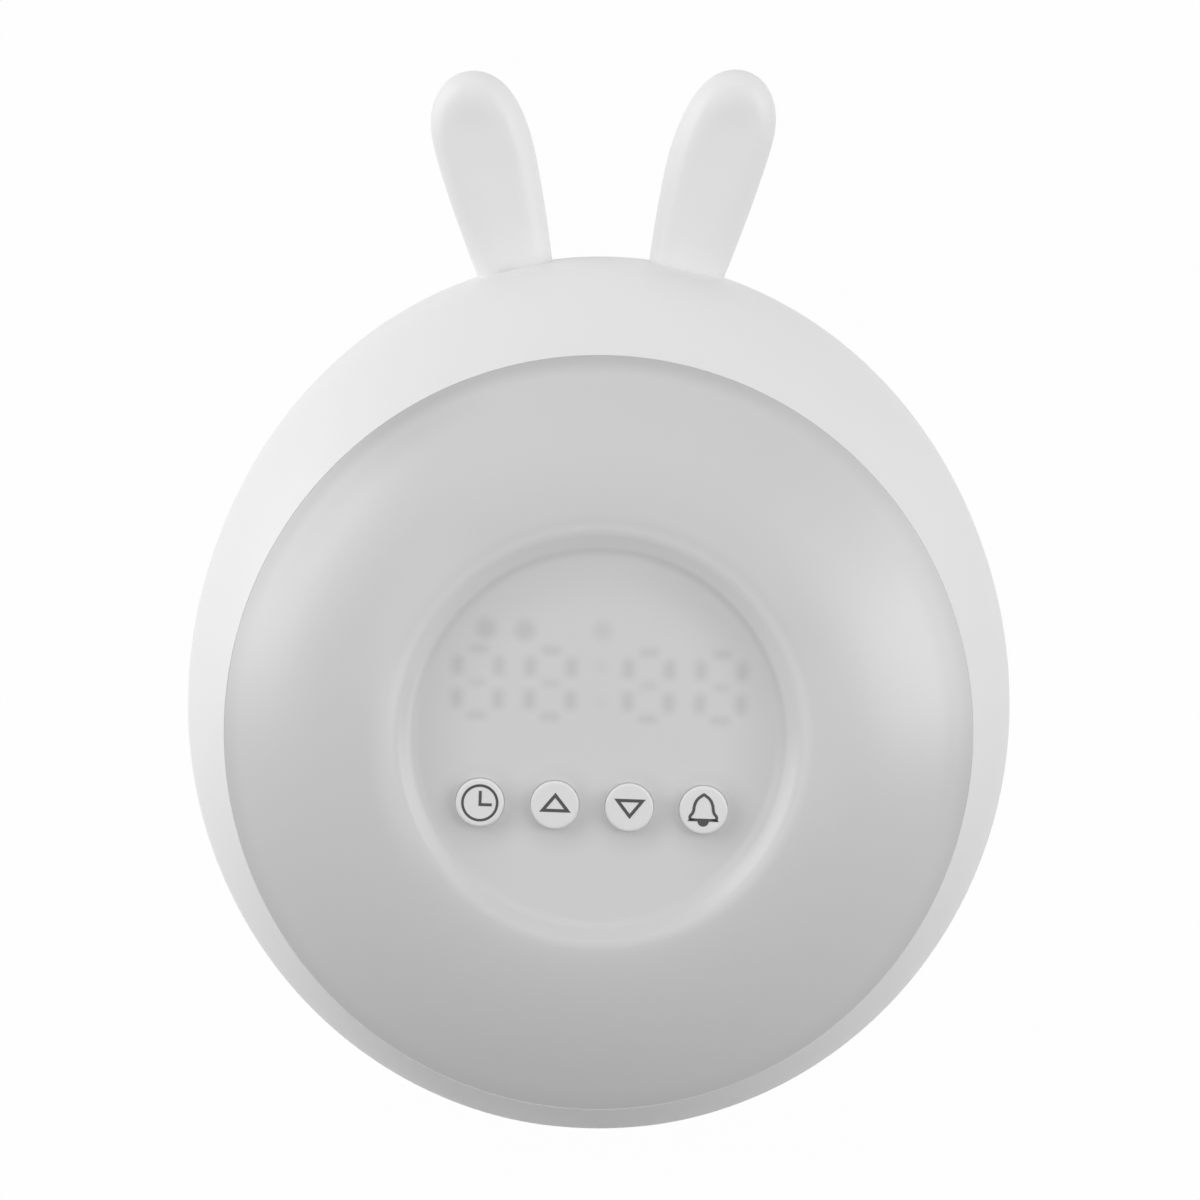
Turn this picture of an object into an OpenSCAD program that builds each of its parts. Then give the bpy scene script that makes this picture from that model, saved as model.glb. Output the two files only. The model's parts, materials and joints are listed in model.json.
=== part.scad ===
// Kids alarm clock with night light: a round white head on a flat base, two spoon-shaped
// ears, a domed light diffuser with a round dial recess, four keys and a screwed rear half.
// Millimetres. +X is the clock's right as you face it, -Y its front, +Z up.
// The origin is at the middle of the footprint, on the surface the rubber feet stand on.

/* [Head] */
// Outer radius of the bezel edge
rim_r = 73.2; // [55:0.1:90]
// Bulge of the widest ring beyond the bezel edge, sideways
bulge_side = 9.2; // [3:0.1:20]
// Bulge of the widest ring beyond the bezel edge, upwards
bulge_top = 17.7; // [5:0.1:30]
// Bulge of the widest ring beyond the bezel edge, downwards
bulge_low = 12.6; // [5:0.1:25]
// Distance of the widest ring behind the head centre
mid_y = 8; // [0:0.5:20]
// Where the front curve starts, in degrees from the face axis
edge_ang = 48; // [30:1:70]
// Wall thickness of both housings
wall = 2.4; // [1.8:0.1:3.5]
// Extra wall beside the bezel
rim_wall = 0.9; // [0:0.1:2]
// Height of the slice that the flat base cuts off the widest ring
base_cut = 7.8; // [3:0.1:15]
// Softness of the base's edge
base_soft = 2; // [0.5:0.1:4]
// Facets round each ring of the head
ring_n = 72; // [48:8:96]

/* [Rear half] */
// Back edge behind the head centre
back_y = 51; // [40:0.5:70]
// Radius of the round back edge
back_r = 58; // [45:0.5:70]
// Height of the back's middle over the head centre
back_z = 2; // [-5:0.5:8]
// Squareness of the rear curve
rear_pow = 2.2; // [2:0.1:4]
// Parting plane behind the head centre
part_y = 29; // [20:0.5:36]
// Depth of the lap joint between the halves
lap = 3; // [2:0.5:5]
// Play in the lap joint
lap_play = 0.1; // [0.05:0.01:0.3]
// Depth of the recessed back panel
panel_sink = 2; // [0.5:0.1:4]
// Thickness of the back panel
panel_t = 2.2; // [1.6:0.1:4]

/* [Face] */
// Backward lean of the face, in degrees
face_tilt = 12; // [0:0.5:25]
// Distance of the bezel plane from the head centre
face_h = 35.6; // [25:0.1:50]
// Width of the bezel edge round its opening
rim_edge = 0.4; // [0.3:0.05:4]
// Step from the bezel opening out to the seat behind its lip
seat_step = 1.7; // [1:0.05:3]
// Depth of the bezel lip
lip_t = 5; // [3:0.1:7]
// Depth of the seat behind the bezel plane
seat_d = 9.5; // [7:0.1:12]
// Turn of the round dial unit in its bezel, in degrees
dial_turn = -1.4; // [-5:0.1:5]

/* [Diffuser] */
// Play between the diffuser and the bezel opening
dif_play = 0.25; // [0.1:0.05:0.6]
// Wall of the diffuser
dif_t = 2; // [1.4:0.1:3]
// Radius of the dome's crest ring
crest_r = 40.6; // [38:0.1:50]
// Height of the crest above the bezel plane
crest_w = 12.5; // [6:0.1:18]
// Depth of the dome's edge behind the bezel plane
dome_sink = 0.3; // [0:0.05:1.5]
// How late the dome falls away from its crest: 2 is a parabola
dome_pow = 1.65; // [1.4:0.05:2.6]
// Radius of the roll into the dial recess
roll_r = 3.6; // [2.8:0.1:6]
// Slope of the recess's wall below the roll, in degrees from the dial floor
recess_slope = 28; // [20:1:45]
// Height of the dial floor above the bezel plane
dial_w = 10.8; // [4:0.1:14]

/* [Keys] */
// Radius of a key cap
key_r = 4.65; // [3:0.05:7]
// Rise of a cap over the floor round it
key_rise = 1.7; // [0.5:0.05:3]
// Running play of a key in its hole
key_play = 0.08; // [0.02:0.01:0.1]
// Travel of a key
key_travel = 0.4; // [0.2:0.05:0.8]
// Pitch of the front key row
key_pitch = 14.5; // [11:0.1:20]
// Offset of the key row's middle to the right
key_off = -0.9; // [-4:0.1:4]
// Drop of the key row below the dial's middle
key_drop = 13.3; // [8:0.1:20]
// Radius of the hidden flange that holds a key in
key_flange_r = 5.55; // [5:0.05:8]
// Thickness of that flange
key_flange_t = 1; // [0.5:0.1:2]
// Side of a push switch
switch_s = 6; // [4:0.5:8]
// Height of a front push switch
switch_h = 2; // [1.5:0.1:4]
// Radius of a switch plunger
plunger_r = 1.5; // [1:0.05:2]
// Running play of a plunger in its switch
plunger_play = 0.05; // [0.02:0.01:0.1]

/* [Display] */
// Height of a digit
digit_h = 14.2; // [8:0.1:20]
// Width of a digit
digit_w = 8.2; // [5:0.1:12]
// Width of a segment window
seg_w = 1.5; // [0.8:0.1:3]
// Width of the webs between neighbouring segments
seg_web = 0.5; // [0.2:0.05:1]
// Spacing of the two digits of a pair
digit_pitch = 14.4; // [9:0.1:20]
// Distance of each pair's middle from the colon
pair_x = 16.6; // [12:0.1:24]
// Height of the digits' middle over the dial's middle
digit_y = 10.2; // [4:0.1:16]
// Height of the status dots over the dial's middle
dot_y = 20.5; // [16:0.1:26]
// Radius of a status dot window
dot_r = 1.2; // [0.5:0.1:2]
// Top face of the display board over the bezel plane
board_w = 4.8; // [1:0.1:7]
// Thickness of every circuit board
pcb_t = 1.6; // [0.8:0.1:2]
// Distance of the light shield tube inside the edge of the dial floor
tube_gap = 1.5; // [0.5:0.1:3]
// Wall of the light shield tube
tube_t = 2; // [1:0.1:3]
// Play of the display board and of its mask in the tube
dboard_play = 0.3; // [0.1:0.05:1]

/* [Inner frame] */
// Play of the diffuser's and the frame's flanges in the seat
seat_play = 0.25; // [0.1:0.05:0.6]
// Back face of the frame's floor behind the bezel plane
floor_d = 17; // [14:0.5:24]
// Thickness of the frame's floor and walls
frame_t = 2; // [1.5:0.1:3]
// Distance of the frame's round wall inside the edge of its flange
frame_in = 6.9; // [5:0.1:12]
// Distance of the tab screws inside that edge
tab_in = 1.5; // [1:0.1:4]
// Distance of the long posts' circle inside the back edge
post_in = 6; // [4.5:0.1:12]
// Radius of a long post
post_r = 4; // [3:0.1:6]
// Number of night-light LEDs
led_count = 12; // [6:1:24]
// Gap between the light shield tube and the light board
light_gap = 5; // [3:0.5:8]
// Width of the light board's bare rim inside the LEDs, where its screws are
light_rim = 7.5; // [7:0.1:12]
// Side of one LED
led_s = 3.5; // [2:0.1:6]

/* [Ears] */
// Rise of an ear's tip over the widest ring of the head
ear_rise = 37.3; // [20:0.1:60]
// Distance of an ear's widest section below its tip
ear_cap = 16.2; // [8:0.1:24]
// Greatest half width of an ear
ear_w = 9.95; // [6:0.05:16]
// Loss of half width from there down to the foot
ear_taper = 2.1; // [0:0.1:5]
// Depth of the uncut foot of the ear shape below the widest ring's top
ear_sink = 10.9; // [6:0.1:20]
// Half thickness of an ear
ear_t = 6.4; // [4:0.1:10]
// Bluntness of an ear's tip: 2 is an ellipse
ear_blunt = 2.2; // [2:0.1:3]
// Inward curl of the tip, per millimetre squared
ear_curl = 0.0075; // [0:0.0005:0.02]
// Depth of the hollow in an ear's front
ear_dish = 3; // [0:0.1:5]
// Distance of an ear's middle line from the head's middle, where it leaves the head
ear_x = 17.3; // [10:0.1:30]
// Depth below the widest ring's top at which that distance is taken
ear_root = 2.9; // [1:0.1:6]
// Sideways lean of an ear, in millimetres per millimetre of height
ear_lean = 0.25; // [0:0.01:0.5]
// Distance of the ears behind the head centre
ear_y = 18.5; // [0:0.5:30]
// Radius of an ear's peg
peg_r = 4; // [3:0.1:6]
// Play of the peg in the housing
peg_play = 0.08; // [0.02:0.01:0.2]

/* [Electronics and fittings] */
// Clearance of a screw in its pilot hole
screw_play = 0.05; // [0.01:0.01:0.2]
// Gap between the main board and the back panel
board_gap = 8.2; // [6:0.1:12]
// Half width of the main board
mboard_x = 31; // [25:0.5:35]
// Lower edge of the main board
mboard_z0 = -42; // [-50:0.5:-30]
// Upper edge of the main board
mboard_z1 = 2; // [-5:0.5:5]
// Height of the speaker's middle over the head centre
spk_z = 26; // [20:0.5:32]
// Radius of the speaker
spk_r = 20; // [15:0.5:25]
// Radius of the holes of the speaker grille
grille_r = 1.1; // [0.6:0.1:2]
// Pitch of those holes
grille_p = 4.6; // [3:0.1:7]
// Sideways place of the power socket and the light key
port_x = 20; // [10:0.5:26]
// Height of the power socket
usb_z = -30; // [-36:0.5:-20]
// Height of the light key
lkey_z = -12; // [-20:0.5:0]
// Middle of the battery bay, to the right
bay_x = -16; // [-20:0.5:-12]
// Middle of the battery bay, height
bay_z = -20; // [-26:0.5:-14]
// Side of the battery opening
bay_s = 26; // [24:0.5:30]
// Width of the door's rebate round the opening
bay_rim = 2; // [1:0.1:4]
// Play round the battery door
door_play = 0.15; // [0.05:0.01:0.4]
// Pull-off travel of the battery door
door_travel = 18; // [8:1:30]
// Radius of the coin cell
cell_r = 10; // [8:0.5:12.5]
// Thickness of the coin cell
cell_t = 3.2; // [1.6:0.1:5]
// Side of the main chip
chip_s = 12; // [6:0.5:16]
// Thickness of the main chip
chip_t = 1.4; // [0.8:0.1:3]
// Radius of the large capacitor
cap_r = 3.2; // [2:0.1:5]
// Height of the large capacitor
cap_h = 8; // [5:0.5:12]
// Width of the display lead's sockets
dsock_w = 14; // [8:0.5:18]
// Height of the display lead's sockets
dsock_h = 6; // [4:0.5:8]
// Width of the light and speaker leads' sockets
lsock_w = 8; // [5:0.5:12]
// Height of those two sockets
lsock_h = 5; // [3:0.5:8]
// Depth of every lead socket
sock_d = 4.5; // [3:0.1:7]
// Height of the display socket on the main board
dsock_z = -8; // [-12:0.5:-4]
// Sideways place of the light lead and its socket
llead_x = -10; // [-14:0.5:-6]
// Height of the light socket
llead_z = -37.5; // [-39:0.5:-34]
// Sideways place of the speaker lead and its socket
slead_x = 14; // [10:0.5:20]
// Height of the speaker socket
slead_z = -6.5; // [-12:0.5:-4]
// Width of the display lead
dlead_w = 10; // [6:0.5:14]
// Width of the light lead
llead_w = 4.8; // [3:0.1:8]
// Width of the speaker lead
slead_w = 3; // [2:0.1:6]
// Radius of a rubber foot
foot_r = 5; // [3:0.5:8]
// Thickness of a rubber foot
foot_t = 1.2; // [0.8:0.1:3]
// Sideways distance of the feet from the middle
foot_x = 18; // [10:0.5:30]
// Front feet behind the head centre
foot_y0 = -5; // [-20:0.5:0]
// Rear feet behind the head centre
foot_y1 = 22; // [10:0.5:30]

/* [Hidden] */
// Rings that follow from the bezel edge
head_a = rim_r + bulge_side;
head_top = rim_r + bulge_top;
head_bot = rim_r + bulge_low;
base_drop = head_bot - base_cut;
open_r = rim_r - rim_edge;
seat_r = open_r + seat_step;
flange_r = seat_r - seat_play;
frame_r = flange_r - frame_in;
tab_r = flange_r - tab_in;
post_off = (back_r - post_in) * sqrt(0.5);
// Ears
ear_tip = head_top + ear_rise;
ear_wide_z = ear_tip - ear_cap;
ear_foot = head_top - ear_sink;
ear_z = head_top - ear_root;
// Centre of the bezel plane in head coordinates
face_y = -face_h * cos(face_tilt);
face_z = face_h * sin(face_tilt);
// Radius of the diffuser's edge, run and rise of its dome, edge of the dial floor
dif_r = open_r - dif_play;
dome_run = open_r - crest_r;
dome_rise = crest_w + dome_sink;
roll_drop = roll_r * (1 - cos(recess_slope));
floor_r = crest_r - roll_r * sin(recess_slope) - (crest_w - roll_drop - dial_w) / tan(recess_slope);
// Reach of the dome in front of the head centre, where it is as steep as the face leans,
// and the head's place in the frame
reach_t = min(1, pow(tan(face_tilt) * dome_run / (dome_pow * dome_rise), 1 / (dome_pow - 1)));
front_reach = -face_y + cos(face_tilt) * dome_pt(reach_t, 0)[1] + sin(face_tilt) * dome_pt(reach_t, 0)[0];
head_y = (front_reach - back_y) / 2;
head_z = base_drop + foot_t;
// Back panel planes
panel_y1 = back_y - panel_sink;
panel_y0 = panel_y1 - panel_t;
mboard_y = panel_y0 - board_gap;
post_y = panel_y0 - 2.8;
// Front keys
key_xs = [for (i = [0:3]) key_off + (i - 1.5) * key_pitch];
key_top = dial_w + key_rise;
flange_w1 = dial_w - dif_t - 0.06;
flange_w0 = flange_w1 - key_flange_t;
plunger_top = board_w + switch_h + 0.5;
// Frame planes
clamp_w = -(lip_t + dif_t) - 0.05;
floor_w = -floor_d + frame_t;
tab_angs = [45, 135, 225, 315];
ledge_w = board_w - pcb_t;
tube_w = dial_w - dif_t - 0.5;
// Places of the small screws
tube_r = floor_r - tube_gap;
dboard_r = tube_r - tube_t - dboard_play;
mask_r = dboard_r - dboard_play;
dscrew_r = dboard_r - 3.8;
dscrew_angs = [90, 245, 295];
lboard_in = tube_r + light_gap;
lscrew_r = lboard_in + light_rim / 2 + 0.75;
led_ring_r = lscrew_r + light_rim / 2 + led_s / 2 + 2;
lboard_out = frame_r - frame_t - 2;
lscrew_angs = [75, 195, 315];
bscrews = [[27, -38], [-27, -38], [27, -2], [-27, -2]];
rscrew_x = spk_r + 5.5;
// Digit places
digit_xs = [-pair_x - digit_pitch / 2, -pair_x + digit_pitch / 2,
            pair_x - digit_pitch / 2, pair_x + digit_pitch / 2];
dots = [[-22.8, dot_y], [-15.1, dot_y], [0.1, dot_y]];
colon = [[0.1, digit_y + digit_h / 4], [0.1, digit_y - digit_h / 4]];

white = [0.94, 0.94, 0.94];
milk = [0.86, 0.86, 0.85];
board_green = [0.1, 0.35, 0.2];
dark = [0.12, 0.12, 0.13];
steel = [0.7, 0.7, 0.72];
led_white = [0.95, 0.93, 0.8];
rubber = [0.25, 0.25, 0.26];

// ---- frames of reference ----

// Everything is drawn round the head centre and lifted onto the feet here.
module head() translate([0, head_y, head_z]) children();

// Face frame: X right, Y up the face, Z out of the face, zero on the bezel plane.
module face() head() translate([0, face_y, face_z]) rotate([90 - face_tilt, 0, 0]) children();

// Dial frame: the face frame turned with the dial unit.
module dial() face() rotate([0, 0, dial_turn]) children();

// Rod along +Y between two depths, at a place in X and Z.
module rod_y(r, y0, y1, x, z)
  translate([x, y0, z]) rotate([-90, 0, 0]) cylinder(r = r, h = y1 - y0, $fn = 64);

// Rod along the face axis between two heights.
module rod_w(r, w0, w1, x = 0, y = 0)
  translate([x, y, w0]) cylinder(r = r, h = w1 - w0, $fn = 64);

// Box between two corners.
module box(a, b) translate(a) cube(b - a);

// ---- smooth form of the head ----

// A ring is [y, z, tilt, half width, height up, height down, flat floor].
function fr_f(p) = (sin(p) - sin(edge_ang)) / (1 - sin(edge_ang));
function fr_g(p) = cos(p) / cos(edge_ang);
function front_ring(p, d) =
  let (f = fr_f(p), g = fr_g(p))
  [mid_y + (face_y - mid_y) * g, face_z * g, face_tilt * g,
   rim_r + (head_a - rim_r) * f - d, rim_r + (head_top - rim_r) * f - d,
   rim_r + (head_bot - rim_r) * f - d, -base_drop + d];
function rear_ring(y, d) =
  let (f = min(1, (y - mid_y) / (back_y - d - mid_y)),
       s = asin(pow(f, rear_pow / 2)), g = 1 - pow(cos(s), 2 / rear_pow))
  [y, back_z * g, 0, head_a - d + (back_r - head_a) * g,
   head_top - d + (back_r - head_top) * g, head_bot - d + (back_r - head_bot) * g,
   -base_drop + d];
// Plain circles: parallel to the face, and upright round the back's middle.
function face_ring(w, r) =
  [face_y - w * cos(face_tilt), face_z + w * sin(face_tilt), face_tilt, r, r, r, -base_drop];
function back_ring(y, r) = [y, back_z, 0, r, r, r, -base_drop];
// Lifts a height onto the flat base, with a soft edge of the given reach.
function on_base(z, f) =
  let (h = max(0, min(1, 0.5 + 0.5 * (z - f) / base_soft)))
  f + (z - f) * h + base_soft * h * (1 - h);
// Points of a ring.
function ring_pts(q) =
  [for (k = [0:ring_n - 1])
    let (t = 360 * k / ring_n, v = (sin(t) > 0 ? q[4] : q[5]) * sin(t))
    [q[3] * cos(t), q[0] + v * sin(q[2]), on_base(q[1] + v * cos(q[2]), q[6])]];
// Two triangles between neighbouring points of two rings; flip is for rings listed to the front.
function strip(i, j, flip = false) =
  [for (k = [0:ring_n - 1])
    let (a = i * ring_n + k, b = i * ring_n + (k + 1) % ring_n,
         c = j * ring_n + (k + 1) % ring_n, e = j * ring_n + k)
    each flip ? [[a, c, b], [a, e, c]] : [[a, b, c], [a, c, e]]];

// Closed tube: the last ring joins the first.
module tube(rings, flip = false) {
  m = len(rings);
  polyhedron(points = [for (q = rings) each ring_pts(q)],
             faces = [for (i = [0:m - 1]) each strip(i, (i + 1) % m, flip)], convexity = 6);
}

// Closed body: a lid on the first and the last ring.
module plug(rings) {
  m = len(rings);
  polyhedron(points = [for (q = rings) each ring_pts(q)],
             faces = concat([for (i = [0:m - 2]) each strip(i, i + 1)],
                            [[for (k = [ring_n - 1:-1:0]) k]],
                            [[for (k = [0:ring_n - 1]) (m - 1) * ring_n + k]]),
             convexity = 4);
}

// Radius of the form round the face axis, at an angle and a height over the bezel plane.
function form_r(a, w, d) = lookup(-w, [for (p = [edge_ang:2:88])
  let (q = front_ring(p, d), s = (a < 180 ? q[4] : q[5]) * sin(a),
       y = q[0] + s * sin(q[2]) - face_y, z = q[1] + s * cos(q[2]) - face_z)
  [y * cos(face_tilt) - z * sin(face_tilt), norm([q[3] * cos(a), y * sin(face_tilt) + z * cos(face_tilt)])]]);

fr_steps = [edge_ang, edge_ang + 3, edge_ang + 7, edge_ang + 12, edge_ang + 18, edge_ang + 24,
            edge_ang + 30, edge_ang + 36, 90];
fr_in = [90, 84, 78, 72, 66, 61];

// ---- housings ----

// Axis of an ear's peg; side is 1 on the right and -1 on the left.
module ear_axis(side)
  translate([side * ear_x, ear_y, ear_z]) rotate([0, side * atan(ear_lean), 0]) children();

module front_housing() color(white) head() difference() {
  union() {
    tube(concat(
      [for (p = fr_steps) front_ring(p, 0)],
      [for (y = [mid_y + 7, mid_y + 14, part_y]) rear_ring(y, 0)],
      [rear_ring(part_y, wall / 2), rear_ring(part_y - lap, wall / 2)],
      [rear_ring(part_y - lap, wall), rear_ring(mid_y + 9, wall)],
      [for (p = fr_in) front_ring(p, wall + rim_wall * fr_g(p))],
      [face_ring(-seat_d, seat_r), face_ring(-lip_t, seat_r),
       face_ring(-lip_t, open_r), face_ring(-dome_sink - 0.1, open_r),
       face_ring(-0.1, open_r + rim_edge / 2)]));
    for (a = tab_angs) in_face() rotate([0, 0, a]) {
      rod_w(3, -floor_d + frame_t, -seat_d - 0.4, tab_r, 0);
      box([tab_r, -1.5, -floor_d + frame_t], [form_r(a, -seat_d - 3.1, wall / 2), 1.5, -seat_d - 3.1]);
    }
    for (s = [-1, 1]) ear_axis(s) translate([0, 0, -9]) cylinder(r = peg_r + 1.9, h = 7.6, $fn = 64);
  }
  for (a = tab_angs) in_face() rotate([0, 0, a])
    rod_w(1.2 + screw_play, -floor_d + frame_t - 1, -seat_d - 1.2, tab_r, 0);
  for (s = [-1, 1]) ear_axis(s) translate([0, 0, -12]) cylinder(r = peg_r + peg_play, h = 24, $fn = 64);
}

// Face frame inside the head frame.
module in_face() translate([0, face_y, face_z]) rotate([90 - face_tilt, 0, 0]) children();

module rear_housing() color(white) head() difference() {
  union() {
    tube(flip = true, rings = concat(
      [for (g = [0, 0.01, 0.05, 0.13, 0.24, 0.38, 0.56, 0.78, 1])
        rear_ring(back_y - (back_y - part_y - lap_play) * g, 0)],
      [rear_ring(part_y + lap_play, wall / 2 + lap_play),
       rear_ring(part_y - lap + lap_play, wall / 2 + lap_play),
       rear_ring(part_y - lap + lap_play, wall)],
      [for (g = [1, 0.6, 0.32, 0.16, 0])
        rear_ring(panel_y0 - 0.4 - (panel_y0 - 0.4 - part_y) * g, wall)],
      [back_ring(panel_y0 - 0.4, back_r - 1), back_ring(back_y, back_r - 1)]));
    rod_y(back_r + 0.6, panel_y0, panel_y1, 0, back_z);
    for (x = [-1, 1], z = [-1, 1])
      rod_y(post_r + 0.5, post_y, panel_y0 + 0.5, x * post_off, back_z + z * post_off);
    for (p = bscrews) rod_y(2.6, mboard_y + 0.02, panel_y0 + 0.5, p[0], p[1]);
    for (x = [-1, 1]) rod_y(3, panel_y0 - 1.95, panel_y0 + 0.5, x * rscrew_x, spk_z);
  }
  for (x = [-1, 1], z = [-1, 1]) {
    rod_y(1.7, post_y - 4, panel_y1 + 1, x * post_off, back_z + z * post_off);
    rod_y(3.2, panel_y1 - 2.8, panel_y1 + 1, x * post_off, back_z + z * post_off);
  }
  for (p = bscrews) rod_y(1.05 + screw_play, mboard_y - 1, mboard_y + 6.2, p[0], p[1]);
  for (x = [-1, 1]) rod_y(1.05 + screw_play, panel_y0 - 3, panel_y1 - 1, x * rscrew_x, spk_z);
  rod_y(grille_r, panel_y0 - 1, panel_y1 + 1, 0, spk_z);
  for (n = [1:3], k = [0:6 * n - 1])
    rod_y(grille_r, panel_y0 - 1, panel_y1 + 1,
          n * grille_p * cos(60 * k / n), spk_z + n * grille_p * sin(60 * k / n));
  rod_y(key_r + key_play, panel_y0 - 1, panel_y1 + 1, port_x, lkey_z);
  usb_form(0.3, panel_y0 - 1, panel_y1 + 1);
  box([bay_x - bay_s / 2, panel_y0 - 1, bay_z - bay_s / 2],
      [bay_x + bay_s / 2, panel_y1 + 1, bay_z + bay_s / 2]);
  box([bay_x - bay_s / 2 - bay_rim, panel_y1 - 1.2, bay_z - bay_s / 2 - bay_rim],
      [bay_x + bay_s / 2 + bay_rim, panel_y1 + 1, bay_z + bay_s / 2 + bay_rim]);
}

// ---- ears ----

// The blunt tip is a superellipse, and the sides draw in slowly down to the foot.
function ear_half(z) = z > ear_wide_z
  ? ear_w * pow(max(0, 1 - pow((z - ear_wide_z) / (ear_tip - ear_wide_z), ear_blunt)), 1 / ear_blunt)
  : ear_w - ear_taper * pow((ear_wide_z - z) / 24, 1.5);
function ear_mid(z) =
  ear_x + ear_lean * (z - ear_z) - ear_curl * pow(max(0, z - ear_wide_z - 2), 2);
function ear_deep(z) = ear_t * pow(ear_half(z) / ear_w, 0.75);
// Hollow of the front face: fades out at the tip and towards the foot.
function ear_fade(z) =
  ear_dish * max(0, min(1, (ear_tip - 3.5 - z) / 6)) * max(0.25, min(1, (z - ear_foot - 4) / 26));
ear_n = 32;
ear_zs = concat([for (i = [0:8]) ear_foot + (ear_wide_z - ear_foot) * i / 8],
                [for (a = [11:9:83]) ear_wide_z + (ear_tip - ear_wide_z) * sin(a)]);
function ear_pt(z, t) =
  let (w = ear_half(z), d = ear_deep(z), c = cos(t), s = sin(t),
       h = s < 0 ? ear_fade(z) * pow(max(0, 1 - pow(c / 0.84, 2)), 1.5) : 0)
  [ear_mid(z) + w * c, ear_y + d * s + h, z];

module ear_shape() {
  m = len(ear_zs);
  polyhedron(
    points = concat([for (z = ear_zs, k = [0:ear_n - 1]) ear_pt(z, 360 * k / ear_n)],
                    [[ear_mid(ear_tip), ear_y, ear_tip]]),
    faces = concat(
      [for (i = [0:m - 2], k = [0:ear_n - 1])
        let (a = i * ear_n + k, b = i * ear_n + (k + 1) % ear_n,
             c = (i + 1) * ear_n + (k + 1) % ear_n, e = (i + 1) * ear_n + k)
        each [[a, c, b], [a, e, c]]],
      [for (k = [0:ear_n - 1]) [(m - 1) * ear_n + k, m * ear_n, (m - 1) * ear_n + (k + 1) % ear_n]],
      [for (k = [1:ear_n - 2]) [0, k, k + 1]]),
    convexity = 6);
}

// One ear on the right side, standing on the head with a bored peg.
module ear_solid() difference() {
  union() {
    difference() {
      ear_shape();
      plug(concat([for (p = [edge_ang + 18, edge_ang + 24, edge_ang + 30, edge_ang + 36, 90])
                    front_ring(p, -0.05)],
                  [for (y = [mid_y + 7, mid_y + 14, part_y, 40]) rear_ring(y, -0.05)]));
    }
    ear_axis(1) translate([0, 0, -8.9]) cylinder(r = peg_r, h = 20, $fn = 64);
  }
  ear_axis(1) translate([0, 0, -10]) cylinder(r = 1.2 + screw_play, h = 11.2, $fn = 48);
}

module right_ear() color(white) head() ear_solid();

module left_ear() color(white) head() mirror([1, 0, 0]) ear_solid();

module ear_screws() color(steel) head() for (s = [-1, 1]) ear_axis(s) {
  translate([0, 0, -11]) cylinder(r = 5, h = 1.98, $fn = 48);
  translate([0, 0, -9.1]) cylinder(r = 1.2, h = 9, $fn = 48);
}

// ---- diffuser ----

// Point of the dome's section from the crest (t = 0) to the bezel edge (t = 1), or at a depth
// under it.
function dome_pt(t, d) =
  let (s = dome_pow * dome_rise / dome_run * pow(t, dome_pow - 1), k = d / norm([1, s]))
  [crest_r + dome_run * t - s * k, crest_w - dome_rise * pow(t, dome_pow) - k];
// Point of the roll between the recess's wall and the crest, at an angle past the crest.
function roll_pt(a, d) =
  [crest_r - (roll_r - d) * sin(a), crest_w - roll_r + (roll_r - d) * cos(a)];

module diffuser() color(milk) dial() difference() {
  rotate_extrude($fn = 128) polygon(concat(
    [[0, dial_w], [floor_r, dial_w]],
    [for (i = [4:-1:1]) roll_pt(recess_slope * i / 4, 0)],
    [for (i = [0:15]) dome_pt(pow(i / 16, 1.3) * (dif_r - crest_r) / dome_run, 0)],
    [dome_pt((dif_r - crest_r) / dome_run, 0)],
    [[dif_r, -lip_t - 0.05], [flange_r, -lip_t - 0.05], [flange_r, -lip_t - dif_t],
     [dif_r - dif_t - 0.2, -lip_t - dif_t]],
    [for (i = [8:-1:0]) dome_pt(0.97 * i / 8, dif_t)],
    [for (i = [1:2]) roll_pt(recess_slope * i / 2, dif_t)],
    [[floor_r + dif_t * tan(recess_slope / 2), dial_w - dif_t], [0, dial_w - dif_t]]));
  for (x = key_xs) rod_w(key_r + key_play, dial_w - dif_t - 1, dial_w + 1, x, -key_drop);
}

// ---- inner frame and night light ----

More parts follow.
